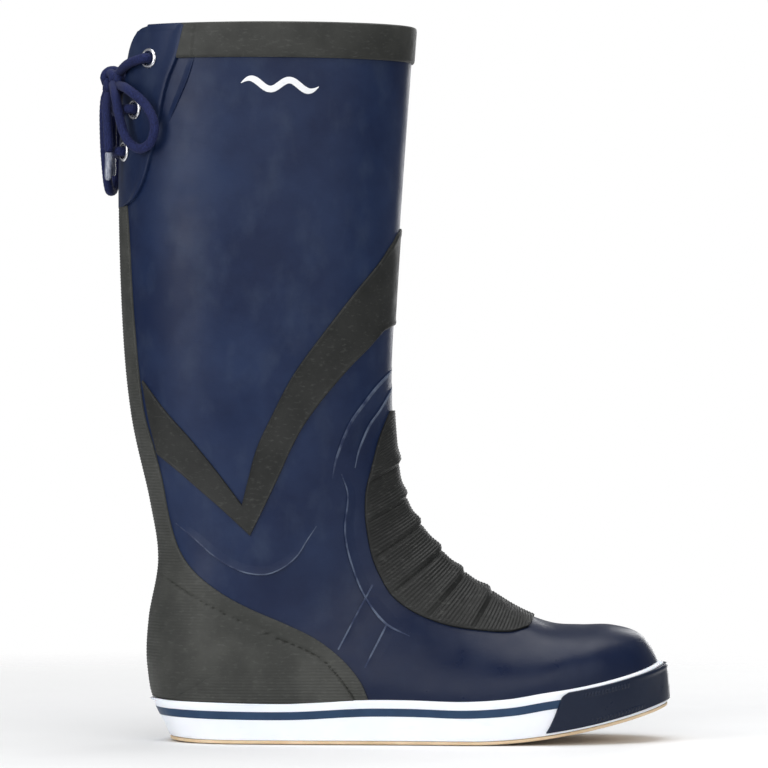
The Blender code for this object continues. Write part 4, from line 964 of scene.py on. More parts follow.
def to_front(curve, count, peak):
    """A curve carried on to the front centre line, where it ends that much higher in t."""
    curve = curve[curve[:, 1] < 2.75]
    end = curve[-1, 0]
    curve = np.vstack([curve, [end - peak * 0.75, 2.95], [end - peak, math.pi]])
    walk = walk_along(last(curve[:, 0], curve[:, 1]))
    at = np.linspace(0, walk[-1], count)
    return np.column_stack([np.interp(at, walk, curve[:, 0]), np.interp(at, walk, curve[:, 1])])


def chevron_edge(back_arm, arm, peak):
    """One edge of the chevron, round the leg from the back to the front and on to the back."""
    curve = np.vstack([side_curve(back_arm, 60)[:-1], to_front(side_curve(arm, 160), 120, peak)])
    return np.vstack([curve, np.column_stack([curve[-2::-1, 0], ACROSS - curve[-2::-1, 1]])])


def chevron(looks):
    """The charcoal chevron, with the thin bead that its mould leaves along both edges."""
    upper = chevron_edge(BACK_ARM_TOP, ARM_TOP, 0.16)
    lower = chevron_edge(BACK_ARM_FOOT, ARM_FOOT, 0.07)
    shares = (0, 0, 0.008, 0.02, 0.045, 0.065, 0.09, 0.2, 0.35, 0.5)
    shares += (0.65, 0.8, 0.91, 0.935, 0.955, 0.98, 0.992, 1, 1)
    half = [-0.4, 0.85, 1.2, 1.4, 1.4, 1.2, 1.05, 1.05, 1.05]
    heights = np.array(half + [1.05] + half[::-1])
    band = layer(*between(lower, upper, shares), heights, -0.5)
    sheets("chevron", [band], looks["band"], stands_for=("chevron_band",), slot="charcoal_rubber")


RIB_PITCH = 1.75
RIB_HEIGHT = 0.17
RIDGE_DROOP = 1.1
PANEL_THICK = 1.5


def instep_pad(looks):
    """The ribbed panel over the instep: overlapping scales, with fine ribs along them."""
    spots = side_curve(PANEL_EDGE, 400)
    order = np.argsort(spots[:, 0])
    front = np.linspace(spots[0, 0], spots[-1, 0], 4000)
    walk = walk_along(last(front, np.full(len(front), math.pi)))
    t = np.interp(np.linspace(0, walk[-1], 460), walk, front)
    edge = np.interp(t, spots[order, 0], spots[order, 1])
    shares, heights = bevelled(120, 0.012, PANEL_THICK)
    angle = strip(edge, ACROSS - edge, shares)
    lean = np.abs(angle - math.pi) / math.pi
    along = np.interp(t[:, None] - RIDGE_DROOP * lean, front, walk, left=-9.0)
    from_edge = np.minimum(angle, ACROSS - angle) - edge[:, None]
    inside = ease(from_edge / 0.05)
    ribs = RIB_HEIGHT * np.cos(ACROSS * along / RIB_PITCH) * inside
    scales = np.zeros_like(along)
    side_share = ease(from_edge / 0.5)
    # Each scale rises over 5 mm to its ridge and drops off within 2 mm, into a groove 3 mm past it.
    for ridge_t, _ in locate(PANEL_RIDGES):
        past = along - np.interp(ridge_t, front, walk)
        rise = np.exp(-((past / 5.0) ** 2))
        drop = np.exp(-((past / 1.8) ** 2))
        scales += (0.5 + 1.0 * side_share) * np.where(past < 0, rise, drop)
        scales -= 0.55 * np.exp(-(((past - 3.1) / 0.8) ** 2))
    top = np.broadcast_to(heights, angle.shape) + (ribs + scales * inside)
    facts = {"stands_for": ("instep_panel",), "slot": "charcoal_rubber", "sharp_deg": 60.0}
    sheets("instep_pad", [layer(t[:, None], angle, top, -0.5)], looks["panel"], **facts)


def heel_cover(looks, wall):
    """The ribbed strip up the back and the heel cup, whose counter is a second layer."""
    spots = side_curve(GUARD_EDGE, 600)
    first, end = spots[0, 0], spots[-1, 0]
    fine = np.linspace(first, end, 4000)
    edge_fine = np.interp(fine, spots[:, 0], spots[:, 1])
    walk = np.maximum(walk_along(last(fine, edge_fine)), walk_along(last(fine, edge_fine * 0.3)))
    t = np.interp(np.linspace(0, walk[-1], 760), walk, fine)
    edge = np.interp(t, spots[:, 0], spots[:, 1])
    _, fox_t, fox_angle = wall.lines[0]
    low = np.interp(t + 0.10, fox_t, fox_angle, left=0.0)
    low = np.maximum(low - 0.04, 0.0)
    edge = np.maximum(edge, low + 0.02)
    level = 60  # columns before the edge falls away
    shares = np.concatenate([np.linspace(0, 0.97, level), [0.985, 0.994, 1.0, 1.0]])
    heights = np.concatenate([np.full(level, 1.35), [1.25, 1.05, 0.8, -0.4]])
    counter = pairs(COUNTER_EDGE)
    layers = []
    for side in (1, -1):
        angle = side * strip(low, edge, shares)
        place = last(np.broadcast_to(t[:, None], angle.shape), angle).reshape(*angle.shape, 3)
        ribs = RIB_HEIGHT * np.cos(ACROSS * place[..., 2] / RIB_PITCH)
        below = counter(place[..., 0].ravel()).reshape(angle.shape) - place[..., 2]
        step = 0.8 * ease(below / 0.7) - 0.8 * np.exp(-(((below + 0.6) / 0.7) ** 2))
        step = step * ease((np.abs(angle) - 0.15) / 0.5)
        out = heights + np.where(heights > 1.0, ribs + step, 0)
        layers.append(layer(t[:, None], angle, out, -0.4))
    facts = {"stands_for": ("heel_guard",), "slot": "charcoal_rubber", "sharp_deg": 60.0}
    sheets("heel_cover", layers, looks["heel"], **facts)


def wave_mark(looks):
    """A plain printed wave, the only mark on the leg."""
    (x0, z0), (x1, z1) = EMBLEM
    share = np.linspace(0, 1, 120)
    wave = 2.8 * np.sin(share * 4 * math.pi)
    middle = np.column_stack([x0 + (x1 - x0) * share, z0 + (z1 - z0) * share + wave])
    across = np.gradient(middle, axis=0)
    across = np.column_stack([-across[:, 1], across[:, 0]]) / np.linalg.norm(across, axis=1)[:, None]
    width = 0.15 + 1.75 * np.sin(np.clip(5 * np.minimum(share, 1 - share), 0, 1) * math.pi / 2)
    low, high = locate(middle - across * width[:, None]), locate(middle + across * width[:, None])
    t, angle = between(low, high, (0, 0.04, 0.5, 0.96, 1))
    ink = layer(t, angle, (0.02, 0.2, 0.24, 0.2, 0.02), -0.2)
    sheets("wave_mark", [ink], looks["print"], stands_for=("wave_emblem",), slot="white_rubber")


def eyelet_places():
    found = locate(EYELET_SPOTS)
    return [(t, side * a) for side in (1, -1) for t, a in found]


def on_skin(t, angle, out):
    return skin(t, angle, out).reshape(3)


def eyelets(looks):
    """Pressed eyelets: a rolled flange, a barrel through the flap and a washer clenched behind."""
    r, bore = EYELET_RADIUS, EYELET_BORE
    barrel = bore + 0.5
    profile = [(bore, -6.2), (barrel, -6.2), (barrel, 1.5)]
    profile += [(r - 0.25, 1.55), (r, 1.8), (r, 2.1), (r - 0.35, 2.55), (r - 0.95, 2.85)]
    profile += [(bore + 0.95, 2.85), (bore + 0.45, 2.65), (bore + 0.1, 2.2), (bore, 1.5)]
    ring = [(barrel + 0.1, -6.3), (r - 0.3, -6.3), (r, -6.0), (r, -5.4), (barrel + 0.1, -4.9)]
    for number, (t, angle) in enumerate(eyelet_places()):
        side = "outer" if angle > 0 else "inner"
        where = ("top", "middle", "bottom")[number % 3]
        place, axis = on_skin(t, angle, 0.0), outward(t, angle).reshape(3)
        for kind, node, shape in (("ring", "eyelet", profile), ("clench", "eyelet_washer", ring)):
            facts = {"stands_for": (f"{node}_{side}_{where}",), "slot": "eyelet_metal"}
            turned(f"{kind}_{side}_{where}", shape, place, axis, looks["metal"], **facts)


def gusset(looks):
    """The folded sheet behind the laced opening."""
    t = np.linspace(0.30, 1.42, 70)
    half = pairs(((0.30, 0.98), (1.0, 0.72), (1.42, 0.50)))(t)
    share = np.linspace(-1, 1, 121)
    depth = pairs(((0, 24.0), (0.2, 20.5), (0.4, 18.5), (0.72, 17.0), (0.9, 6.4), (1, 5.6)))(np.abs(share))
    pleats = 0.5 * np.cos(share * 9 * math.pi) * (1 - share**2)
    creases = 0.35 * np.sin(t * 31)[:, None] * np.clip(1 - np.abs(share) / 0.6, 0, 1)
    angle = half[:, None] * share
    out = -depth - pleats - np.abs(creases)
    top, low = layer(t[:, None], angle, out, out - 0.7)
    facts = {"stands_for": ("gusset",), "slot": "charcoal_rubber"}
    obj = sheets("gusset_fold", [(top, low)], looks["cloth"], **facts)


# ---- the sole ---------------------------------------------------------------------------------------


def rise_at(x, y):
    """Where y first rises past 0, or None."""
    change = np.flatnonzero((y[:-1] <= 0) & (y[1:] > 0))
    if not len(change):
        return None
    i = change[0]
    return x[i] + (x[i + 1] - x[i]) * y[i] / (y[i] - y[i + 1])


def level_line(share):
    """(t, angle) on the outer side, from the heel to the toe, of the line that runs at this share
    of the way from the upper's base (0) to the foxing's top edge (1)."""
    angles = np.linspace(0, math.pi, 721)
    rows = np.linspace(6.5, TOE_SECTION - 0.01, 560)
    spots = last(rows[:, None], angles[None, :]).reshape(len(rows), len(angles), 3)
    height = base_height(spots[..., 0]) * (1 - share)
    height += foxing_top(spots[..., 0].ravel()).reshape(height.shape) * share
    above = spots[..., 2] - height
    found = [(t, rise_at(angles, line)) for t, line in zip(rows, above, strict=True)]
    near_ends = np.flatnonzero(np.minimum(angles, math.pi - angles) < 0.9)
    found += [(rise_at(rows, -above[:, i]), angles[i]) for i in near_ends[1:-1]]
    found = [spot for spot in found if None not in spot]
    ends = []
    fine = np.linspace(6.5, TOE_SECTION - 0.01, 2000)
    for angle in (0.0, math.pi):
        ends_at = last(fine, np.full(len(fine), angle))
        level = base_height(ends_at[:, 0]) * (1 - share) + foxing_top(ends_at[:, 0]) * share
        ends.append((fine[np.flatnonzero(ends_at[:, 2] < level)[0]], angle))
    middle = [spot for spot in found if ends[0][0] < spot[0] < ends[1][0]]
    return np.array([ends[0], *middle, ends[1]])


class Wall:
    """The foxing's outer face, by the turn from heel to toe and height from 0 (foot) to 1 (top)."""

    def __init__(self):
        self.lines = [self.by_turn(level_line(share)) for share in (1.0, 0.66, 0.33)]
        self.loops = {}

    @staticmethod
    def by_turn(line):
        x = last(line[:, 0], line[:, 1])[:, 0]
        turn = np.arccos(1 - 2 * np.clip((x - x.min()) / (x.max() - x.min()), 0, 1))
        order = np.argsort(turn)
        return turn[order], line[order, 0], line[order, 1]

    def place(self, turn, level=0):
        """(t, angle) at these turns on the foxing's top line, or on a line below it."""
        fold = np.where(turn > math.pi, ACROSS - turn, turn)
        side = np.where(turn > math.pi, -1.0, 1.0)
        turns, t, angle = self.lines[level]
        return np.interp(fold, turns, t), side * np.interp(fold, turns, angle)

    def beside(self, turn, level, out):
        """Points level with a line and that far out from the upper's face."""
        t, angle = self.place(turn, level)
        flat = outward(t, angle) * (1.0, 1.0, 0.0)
        return last(t, angle) + flat / np.linalg.norm(flat, axis=1)[:, None] * out

    def plan(self, turn, inset):
        """Points on the sole's inset outline at these turns, at height 0."""
        count = 1440
        if inset not in self.loops:
            loop = plan_loop(inset, count)
            self.loops[inset] = np.vstack([loop, loop[:1]])
        loop = self.loops[inset]
        at = np.linspace(0, ACROSS, count + 1)
        x, y = np.interp(turn, at, loop[:, 0]), np.interp(turn, at, loop[:, 1])
        return np.column_stack([x, y, np.zeros(len(x))])

    def rows(self, turn):
        """The face's foot, its middle and its top at these turns."""
        turn = np.asarray(turn, float) % ACROSS
        top = self.beside(turn, 0, GAP + 2.3)
        middle = self.plan(turn, 0.0)
        middle[:, 2] = np.minimum(top[:, 2] - 4.0, base_height(middle[:, 0]) + 1.0)
        foot = self.plan(turn, taper)
        foot[:, 2] = ground(foot[:, 0]) + OUTSOLE_LIP
        return foot, middle, top

    def raw(self, turn, share):
        """Points on the smooth face through its foot, middle and top."""
        foot, middle, top = self.rows(turn)
        share = share[:, None]
        bend = 2 * middle - (foot + top) / 2
        return foot * (1 - share) ** 2 + 2 * bend * share * (1 - share) + top * share**2

    def face(self, turn, share, out):
        """Points at a share of the height, 0 to 1, that stand out from the face."""
        turn, share, out = np.broadcast_arrays(np.asarray(turn, float), np.asarray(share, float), out)
        shape = turn.shape
        turn, share, out = turn.ravel(), share.ravel(), out.ravel()
        step = 0.01
        along = self.raw(turn + step, share) - self.raw(turn - step, share)
        up = self.raw(turn, np.minimum(share + step, 1)) - self.raw(turn, np.maximum(share - step, 0))
        normal = np.cross(along, up)
        normal /= np.linalg.norm(normal, axis=1)[:, None]
        return (self.raw(turn, share) + normal * out[:, None]).reshape(*shape, 3)

    def share_at(self, turn, height):
        """The share of the face's height at which it reaches a height above the ground plane."""
        shares = np.linspace(0, 1, 61)
        levels = np.stack([self.raw(turn, np.full(len(turn), s))[:, 2] for s in shares], axis=1)
        return np.array([np.interp(h, line, shares) for h, line in zip(height, levels, strict=True)])


def foxing(looks, wall):
    """The white foxing, with a rounded bead along its top edge."""
    turn = np.linspace(0, ACROSS, 480, endpoint=False)
    shares = [0, 0.01, 0.03, 0.08, 0.16, 0.25, 0.34, 0.43, 0.52, 0.6, 0.68, 0.76, 0.84]
    out = [-0.45, -0.12] + [0.0] * 11
    shares += [0.90, 0.94, 0.97, 0.99, 1.0]
    out += [0.05, 0.12, 0.05, -0.25, -0.8]
    outer = wall.face(turn[:, None], shares, out)
    lip = [wall.beside(turn, 0, 1.0), wall.beside(turn, 0, -1.2)]
    lip[0][:, 2] += 0.25
    inner = [wall.beside(turn, level, -1.2) for level in (1, 2)]
    floor = wall.plan(turn, UPPER_INSET - GAP)
    floor[:, 2] = base_height(floor[:, 0]) - GAP
    foot, _, _ = wall.rows(turn)
    base = wall.plan(turn, inner_wall)
    base[:, 2] = foot[:, 2]
    sections = np.concatenate([outer, np.stack([*lip, *inner, floor, base], axis=1)], axis=1)
    lofted("foxing", sections, looks["white"], stands_for=("foxing_band",), slot="white_rubber")


def inner_wall(x):
    return taper(x) + WALL


def foxing_stripe(looks, wall):
    """The navy stripe, a thin strip with rounded edges."""
    end = 2.215
    turn = np.linspace(-end, end, 420) % ACROSS
    _, _, top = wall.rows(turn)
    low = wall.share_at(turn, top[:, 2] - STRIPE_DROP - STRIPE_HEIGHT)
    high = wall.share_at(turn, top[:, 2] - STRIPE_DROP)
    shares, heights = bevelled(5, 0.14, 0.32, sink=0.3)
    share = strip(low, high, shares)
    band = (wall.face(turn[:, None], share, heights), wall.face(turn[:, None], share, -0.4))
    sheets("stripe", [band], looks["stripe"], stands_for=("foxing_stripe",), slot="navy_rubber")


BUMPER_COLUMNS = 520
KNURL_PITCH = 2.2


def toe_bumper(looks, wall):
    """The navy bumper over the toe: slanted ends, a small lip at the top and two knurled lines."""
    shares, heights = bevelled(44, 0.035, 1.75)
    start = pairs(((0, 2.115), (0.45, 2.16), (0.8, 2.195), (0.93, 2.215), (1, 2.245)))(shares)
    along = np.concatenate([[0, 0], np.linspace(0.0015, 0.9985, BUMPER_COLUMNS), [1, 1]])
    turn = start[None, :] + (ACROSS - 2 * start)[None, :] * along[:, None]
    share = np.zeros_like(turn)
    for column, across in enumerate(shares):
        foot, _, top = wall.rows(turn[:, column])
        high, low = top[:, 2] - 1.1, foot[:, 2] + 2.0
        share[:, column] = wall.share_at(turn[:, column], low + (high - low) * across)
    nose = ease((0.30 - np.abs(along - 0.5)) / 0.22)
    lip = 0.7 * np.exp(-(((shares - 0.93) / 0.05) ** 2))[None, :] * nose[:, None]
    half_up = 30
    run = walk_along(wall.face(turn[:, half_up], share[:, half_up], 0.0))
    distance = np.minimum(run, run[-1] - run)
    teeth = 0.5 * (0.5 + 0.5 * np.cos(ACROSS * run / KNURL_PITCH))

    def knurl(first, end, level, half):
        """A line of teeth between two distances from the bumper's ends, at a share of its height."""
        line = teeth * ease((distance - first) / 3) * ease((end - distance) / 3)
        return line[:, None] * (np.abs(shares - level) < half)

    out = np.broadcast_to(heights, turn.shape) + lip
    out = out + knurl(12, 46, 0.84, 0.055) + knurl(20, 58, 0.13, 0.045)
    edge = np.full(len(along), 9.0)
    edge[:2] = edge[:-3:-1] = (-0.4, 1.2)
    out = np.minimum(out, edge[:, None])
    cover = (wall.face(turn, share, out), wall.face(turn, share, -0.4))
    sheets("bumper", [cover], looks["bumper"], stands_for=("toe_bumper",), slot="navy_rubber")


LOOP_POINTS = 360
TREAD_DEPTH = 1.2
TREAD_RIM = 4.5
SIPE_PITCH = 5.6
SIPE_WIDTH = 1.5
SIPE_SWING = 1.5
SIPE_WAVE = 15.0


def gum_sole(looks):
    """The gum sole, its rim round a recess, and in the recess the tread with its wavy sipes."""
    # Each loop of the rim: its inset from the sole's side, and its height above the tread.
    rim = ((TREAD_RIM + 0.5, TREAD_DEPTH), (TREAD_RIM, 0.2), (TREAD_RIM - 0.3, 0.0), (0.9, 0.0))
    rim += ((0.25, 0.25), (0.0, 0.8), (0.0, OUTSOLE_LIP - 0.4), (0.3, OUTSOLE_LIP - 0.1))
    rim += ((WALL + GAP, OUTSOLE_LIP - 0.1), (WALL + GAP, OUTSOLE_THICK))
    loops = []
    for inset, above in rim:
        loop = plan_loop(lambda x, inset=inset: taper(x) + inset, LOOP_POINTS)
        loops.append(np.column_stack([loop, ground(loop[:, 0]) + above]))
    rings("gum_sole", loops, looks["gum"], stands_for=("outsole",), slot="gum_rubber")
    outer, inner = sides_of(plan_loop(lambda x: taper(x) + TREAD_RIM + 1.6, 1200))
    x = np.linspace(outer[0, 0] + 1.2, outer[-1, 0] - 1.2, 680)
    low, high = np.interp(x, outer[:, 0], outer[:, 1]), np.interp(x, inner[:, 0], inner[:, 1])
    y = strip(low, high, np.linspace(0, 1, 44))
    phase = (x[:, None] + SIPE_SWING * np.sin(ACROSS * y / SIPE_WAVE)) % SIPE_PITCH
    from_middle = np.abs(phase - SIPE_PITCH / 2)
    groove = ease((SIPE_WIDTH / 2 + 0.2 - from_middle) / 0.4)
    from_rim = np.minimum(y - low[:, None], high[:, None] - y)
    depth = TREAD_DEPTH * np.maximum(groove, ease(1 - from_rim / 0.5))
    xs = np.broadcast_to(x[:, None], y.shape)
    face = np.stack([xs, y, ground(xs) + 0.02 + depth * 0.96], axis=-1)
    back = np.stack([xs, y, ground(xs) + TREAD_DEPTH + 0.5], axis=-1)
    sheets("tread", [(face, back)], looks["gum"], slot="gum_rubber", sharp_deg=30.0)


BOARD_TOP = 5.85  # the insole board's upper face, above the upper's base


def footbed(looks):
    """The loose footbed: a cup round the heel, a crowned top and a rolled edge."""

    def edge(x):
        toe = np.clip((x - 100.0) / 58.0, 0, 1)
        heel = np.clip((-105.0 - x) / 25.0, 0, 1)
        return 9.2 + 7.0 * toe**2 + 2.2 * heel

    # Each loop, from the underside to the top: its inset from the edge, its height above the board, and
    # how much higher it is at the heel.
    form = ((1.2, 0.0, 0.0), (0.3, 0.5, 0.0), (0.0, 1.5, 0.4), (0.0, 3.0, 1.5), (0.4, 3.9, 2.2))
    form += ((1.2, 4.3, 2.3), (2.6, 4.2, 1.9), (5.0, 3.9, 0.9), (9.0, 3.8, 0.1), (14.0, 3.9, -0.2))
    form += ((20.0, 4.0, -0.3),)
    loops = []
    for inset, above, cup in form:
        loop = plan_loop(lambda x, inset=inset: edge(x) + inset, LOOP_POINTS)
        x = loop[:, 0]
        height = base_height(x) + BOARD_TOP + above + cup * ease((-40.0 - x) / 50.0)
        loops.append(np.column_stack([loop, height]))
    facts = {"body": FOOTBED, "stands_for": ("footbed",), "slot": "footbed_foam"}
    rings("footbed_pad", loops, looks["footbed"], **facts)


# ---- the lace -----------------------------------------------------------------------------------

# Where the strands leave the knot, from its middle: the lacing's two, each loop's two and each end.
RUN_LEAVES = ((3.4, -7.6, 1.5), (3.4, 7.6, 1.5))
NEAR_LEAVES = ((0.6, -9.4, -3.4), (3.6, -12.6, -5.0))
FAR_LEAVES = ((-1.6, 9.4, -3.0), (3.4, 12.6, -5.0))
ENDS_LEAVE = ((-1.8, -4.4, -8.6), (-3.6, 3.6, -9.0))


def lace_route():
    """The lace from the knot through the six eyelets and back, along the model's route."""
    top_o, mid_o, low_o, top_i, mid_i, low_i = eyelet_places()

    def through(place, inward):
        spots = [on_skin(*place, out) for out in (5.0, 2.5, -1.0, -4.5, -8.4)]
        return spots if inward else spots[::-1]

    def bar(a, b):
        ends = [on_skin(t, angle * 0.55, 5.3) for t, angle in (a, b)]
        return [ends[0], on_skin(a[0], 0.0, 4.7), ends[1]]

    def behind(a, b, out):
        return [on_skin((a[0] + b[0]) / 2, 0.0, out)]

    knot = np.array(KNOT)
    route = [knot + RUN_LEAVES[0], on_skin(0.27, 0.42, 5.2)]
    route += through(top_o, True) + behind(top_o, mid_i, -8.8) + through(mid_i, False)
    route += bar(mid_i, mid_o) + through(mid_o, True) + behind(mid_o, low_i, -8.8)
    route += through(low_i, False) + bar(low_i, low_o) + through(low_o, True)
    route += behind(low_o, top_i, -15.6) + through(top_i, False)
    return route + [on_skin(0.27, -0.42, 5.2), knot + RUN_LEAVES[1]]


def off_side(x, z, out):
    """A point off the outer side of the leg, given as seen from the side."""
    t, angle = locate([(x, z)])[0]
    return on_skin(t, angle, out)


def cord(name, points, node, looks):
    """A stretch of the lace along the points."""
    path, ring = braided_tube(points, 22)
    facts = {"stands_for": (node,), "slot": "lace_cord", "sharp_deg": BRAID_SHARP}
    obj = rings(name, ring, looks["lace"], **facts)


def aglet(side, top, bottom, looks):
    """A clear tip shrunk over the cord's end, slightly waisted, with a rounded nose."""
    top, bottom = np.array(top), np.array(bottom)
    length = np.linalg.norm(bottom - top)
    r = AGLET_RADIUS
    profile = [(0.02, 0.0), (r * 0.98, 0.0), (r, 0.8), (r * 0.93, 3.0), (r * 0.88, length * 0.5)]
    profile += [(r * 0.86, length - 2.0), (r * 0.72, length - 0.6), (r * 0.4, length), (0.02, length)]
    facts = {"stands_for": (f"aglet_{side}",), "slot": "aglet_plastic"}
    return turned(f"tip_{side}", profile, top, bottom - top, looks["tip"], steps=24, **facts)


def rope_knot(looks):
    """The bow's knot: a turn of the lace round the strands that run through it."""
    knot = np.array(KNOT)
    wind = np.linspace(-0.6, ACROSS + 0.9, 14)
    band = [knot + (-4.6 * math.cos(a), -2.2 + 0.72 * a, 4.4 * math.sin(a)) for a in wind]
    loops = (NEAR_LEAVES[0], (0.8, -9.2, 0.8), (-0.8, -4.6, 2.4), (-1.6, 0.0, 2.6), (-1.8, 5.0, 2.2))
    loops += ((-1.7, 9.2, 1.0), FAR_LEAVES[0])
    backs = (NEAR_LEAVES[1], (3.8, -12.0, -0.8), (2.6, -7.0, 1.6), (1.4, 0.0, 1.8), (2.6, 7.0, 1.6))
    backs += ((3.8, 12.0, -0.8), FAR_LEAVES[1])
    ends = (ENDS_LEAVE[0], (-2.6, -4.6, -4.0), (-2.4, -2.0, -1.6), (-2.4, 2.0, -1.6), (-3.4, 4.2, -4.0))
    ends += (ENDS_LEAVE[1],)
    run = (RUN_LEAVES[0], (3.0, -3.6, -0.6), (2.6, 0.0, -1.4), (3.0, 3.6, -0.6), RUN_LEAVES[1])
    strands = [band] + [[knot + spot for spot in strand] for strand in (loops, backs, ends, run)]
    points, faces, count = [], [], 0
    for strand in strands:
        _, ring = braided_tube(strand, 20)
        rows, cols = ring.shape[:2]
        faces += grid_quads(rows, cols, count, wrap=True).tolist()
        faces += [[start + v for v in range(cols)] for start in (count, count + (rows - 1) * cols)]
        points.append(ring.reshape(-1, 3))
        count += rows * cols
    facts = {"stands_for": ("bow_knot",), "slot": "lace_cord", "sharp_deg": BRAID_SHARP}
    return add_piece("knot_wrap", np.vstack(points), faces, looks["lace"], **facts)


def lace(looks):
    knot = np.array(KNOT)
    near = [knot + NEAR_LEAVES[0], off_side(-150.0, 371.0, 11.0), off_side(-148.8, 357.0, 9.5)]
    near += [off_side(-146.6, 346.5, 8.0), off_side(-141.0, 340.5, 7.0), off_side(-134.6, 343.5, 7.0)]
    near += [off_side(-132.0, 353.5, 7.5), off_side(-136.2, 365.0, 8.5), off_side(-143.0, 374.0, 12.0)]
    near += [knot + NEAR_LEAVES[1]]
    far = [knot + FAR_LEAVES[0], (-167.6, 12.0, 371.5), (-168.2, 15.0, 352.0), (-167.2, 19.5, 331.0)]
    far += [(-165.8, 25.5, 319.5), (-163.8, 31.0, 320.0), (-162.4, 34.5, 332.0), (-162.4, 34.5, 352.0)]
    far += [(-161.2, 28.5, 367.5), knot + FAR_LEAVES[1]]
    end_o = [knot + ENDS_LEAVE[0], (-165.4, -12.2, 366.5), (-164.6, -17.4, 357.0), (-163.8, -20.8, 347.0)]
    end_o += [(-163.5, -21.8, 339.0)]
    end_i = [knot + ENDS_LEAVE[1], (-164.2, 6.0, 371.2), (-162.4, 11.2, 369.9), (-163.4, 17.0, 366.8)]
    end_i += [(-164.2, 22.8, 359.0), (-164.4, 25.2, 351.0), (-164.2, 25.8, 343.5)]
    for side, end, tip in (("outer", end_o, (-0.6, -0.4, -15.8)), ("inner", end_i, (0.4, -0.2, -15.8))):
        aglet(side, end[-1], np.add(end[-1], tip), looks)
    knot_piece = rope_knot(looks)
    cord("lacing", lace_route(), "lace_run", looks)
    for side, loop in (("outer", near), ("inner", far)):
        cord(f"bow_loop_{side}", loop, f"lace_loop_{side}", looks)
    for side, end in (("outer", end_o), ("inner", end_i)):
        cord(f"lace_tail_{side}", end, f"lace_end_{side}", looks)


# ---- the stage ----------------------------------------------------------------------------------


def area_light(name, place, aim, size, watts, colour=(1, 1, 1)):
    data = bpy.data.lights.new(name, "AREA")
    data.shape = "RECTANGLE"
    data.size, data.size_y = size
    data.energy = watts
    data.color = colour
    obj = bpy.data.objects.new(name, data)
    bpy.context.scene.collection.objects.link(obj)
    obj.location = place
    obj.rotation_euler = (Vector(aim) - Vector(place)).to_track_quat("-Z", "Y").to_euler()


def studio():
    """A pale floor, tall softboxes to the left and right, one overhead and a strip behind."""
    mesh = bpy.data.meshes.new("floor")
    reach, low = 1.6, CAD_BOX[0][2] - 0.0004
    corners = [(x * reach, y * reach, low) for x, y in ((-1, -1), (1, -1), (1, 1), (-1, 1))]
    mesh.from_pydata(corners, [], [(0, 1, 2, 3)])
    floor = bpy.data.objects.new("floor", mesh)
    bpy.context.scene.collection.objects.link(floor)
    mesh.materials.append(pale_floor())
    aim = (-0.05, 0.0, 0.20)
    area_light("left_box", (-1.02, -0.86, 0.62), aim, (0.55, 1.2), 9.0)
    area_light("right_box", (0.95, -1.13, 0.60), aim, (0.6, 1.2), 2.6)
    area_light("top_box", (0.15, -0.05, 1.60), (0.02, 0.0, 0.1), (1.6, 1.2), 20.0)
    area_light("front_wall", (0.20, -3.20, 1.25), aim, (2.6, 1.8), 30.0)
    area_light("back_strip", (0.52, 1.22, 0.35), aim, (0.25, 1.2), 4.0)
    world = bpy.data.worlds.new("studio")
    world.use_nodes = True
    bpy.context.scene.world = world
    nodes, links = world.node_tree.nodes, world.node_tree.links
    seen = nodes["Background"]
    seen.inputs["Color"].default_value = (1.0, 1.0, 1.0, 1.0)
    seen.inputs["Strength"].default_value = 1.0
    lit = nodes.new("ShaderNodeBackground")
    lit.inputs["Color"].default_value = (0.95, 0.97, 1.0, 1.0)
    lit.inputs["Strength"].default_value = 0.27
    mix = nodes.new("ShaderNodeMixShader")
    links.new(nodes.new("ShaderNodeLightPath").outputs["Is Camera Ray"], mix.inputs["Fac"])
    links.new(lit.outputs["Background"], mix.inputs[1])
    links.new(seen.outputs["Background"], mix.inputs[2])
    links.new(mix.outputs["Shader"], nodes["World Output"].inputs["Surface"])
    bpy.context.scene.view_settings.view_transform = "Standard"


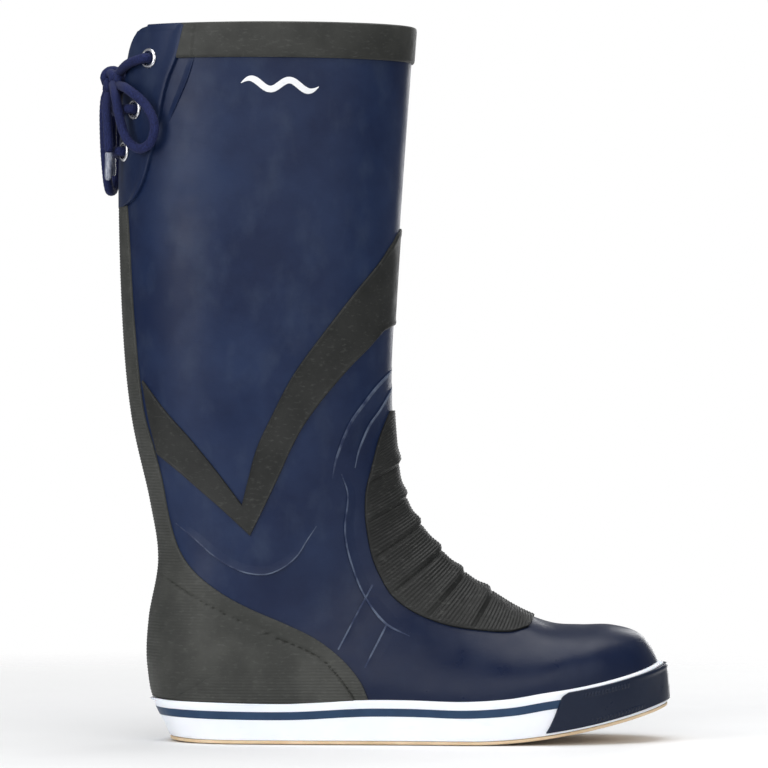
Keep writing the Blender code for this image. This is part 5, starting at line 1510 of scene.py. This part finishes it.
def camera():
    """A long lens, level with the middle of the leg, square on to the boot's outer side."""
    data = bpy.data.cameras.new("camera")
    data.sensor_width = 36.0
    data.lens = 228.0
    obj = bpy.data.objects.new("camera", data)
    bpy.context.scene.collection.objects.link(obj)
    obj.location = (-0.0052, -2.82, 0.206)
    obj.rotation_euler = (math.pi / 2, 0.0, 0.0)
    bpy.context.scene.camera = obj


def hidden_nodes(looks):
    """Materials for the model's own nodes that stay."""
    for node, look in (("midsole", "foam"), ("insole_board", "board"), ("shank", "steel")):
        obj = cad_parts[node]
        for slot in obj.material_slots:
            slot.material = looks[look]


def build():
    looks = {
        "navy": navy_rubber("navy_rubber", (0.0050, 0.0122, 0.044), (0.0122, 0.0245, 0.069)),
        "bumper": navy_rubber("bumper_rubber", (0.0072, 0.0145, 0.039), (0.0105, 0.0195, 0.046)),
        "stripe": stripe_rubber(),
        "wear_and_highlight": navy_wear_and_highlight(),
        "charcoal": charcoal_rubber("charcoal_rubber", (0.024, 0.025, 0.0225), (0.040, 0.041, 0.037)),
        "band": charcoal_rubber("charcoal_band", (0.0105, 0.0112, 0.0105), (0.0195, 0.0203, 0.0190)),
        # A darker copy of the charcoal for the instep pad: partly its own tone, partly painted shade
        # against the light from overhead.
        "panel": charcoal_rubber("charcoal_panel_painted_shade", (0.0070, 0.0075, 0.0070), (0.0135, 0.0141, 0.0131)),
        # A paler copy of the charcoal for the heel cover: partly its own tone, partly a painted highlight
        # on the heel cup.
        "heel": charcoal_rubber("charcoal_heel_painted_highlight", (0.029, 0.0305, 0.0275), (0.049, 0.0503, 0.0455)),
        "white": white_rubber(),
        "gum": gum_rubber(),
        "knit": knit_lining(),
        "cloth": coated_cloth(),
        "lace": braided_cord(),
        "footbed": footbed_cloth(),
        "metal": bright_metal(),
        "steel": spring_steel(),
        "tip": clear_tip(),
        "print": white_print(),
        "board": pressed_board(),
        "foam": cell_foam(),
    }
    camera()
    lace(looks)
    studio()
    for make in (rubber_upper, lining, rim_binding, facings, lap_edges, chevron, instep_pad):
        make(looks)
    wall = Wall()
    heel_cover(looks, wall)
    for make in (wave_mark, eyelets, gusset):
        make(looks)
    for make in (foxing, foxing_stripe, toe_bumper):
        make(looks, wall)
    for make in (gum_sole, footbed, hidden_nodes):
        make(looks)


build()
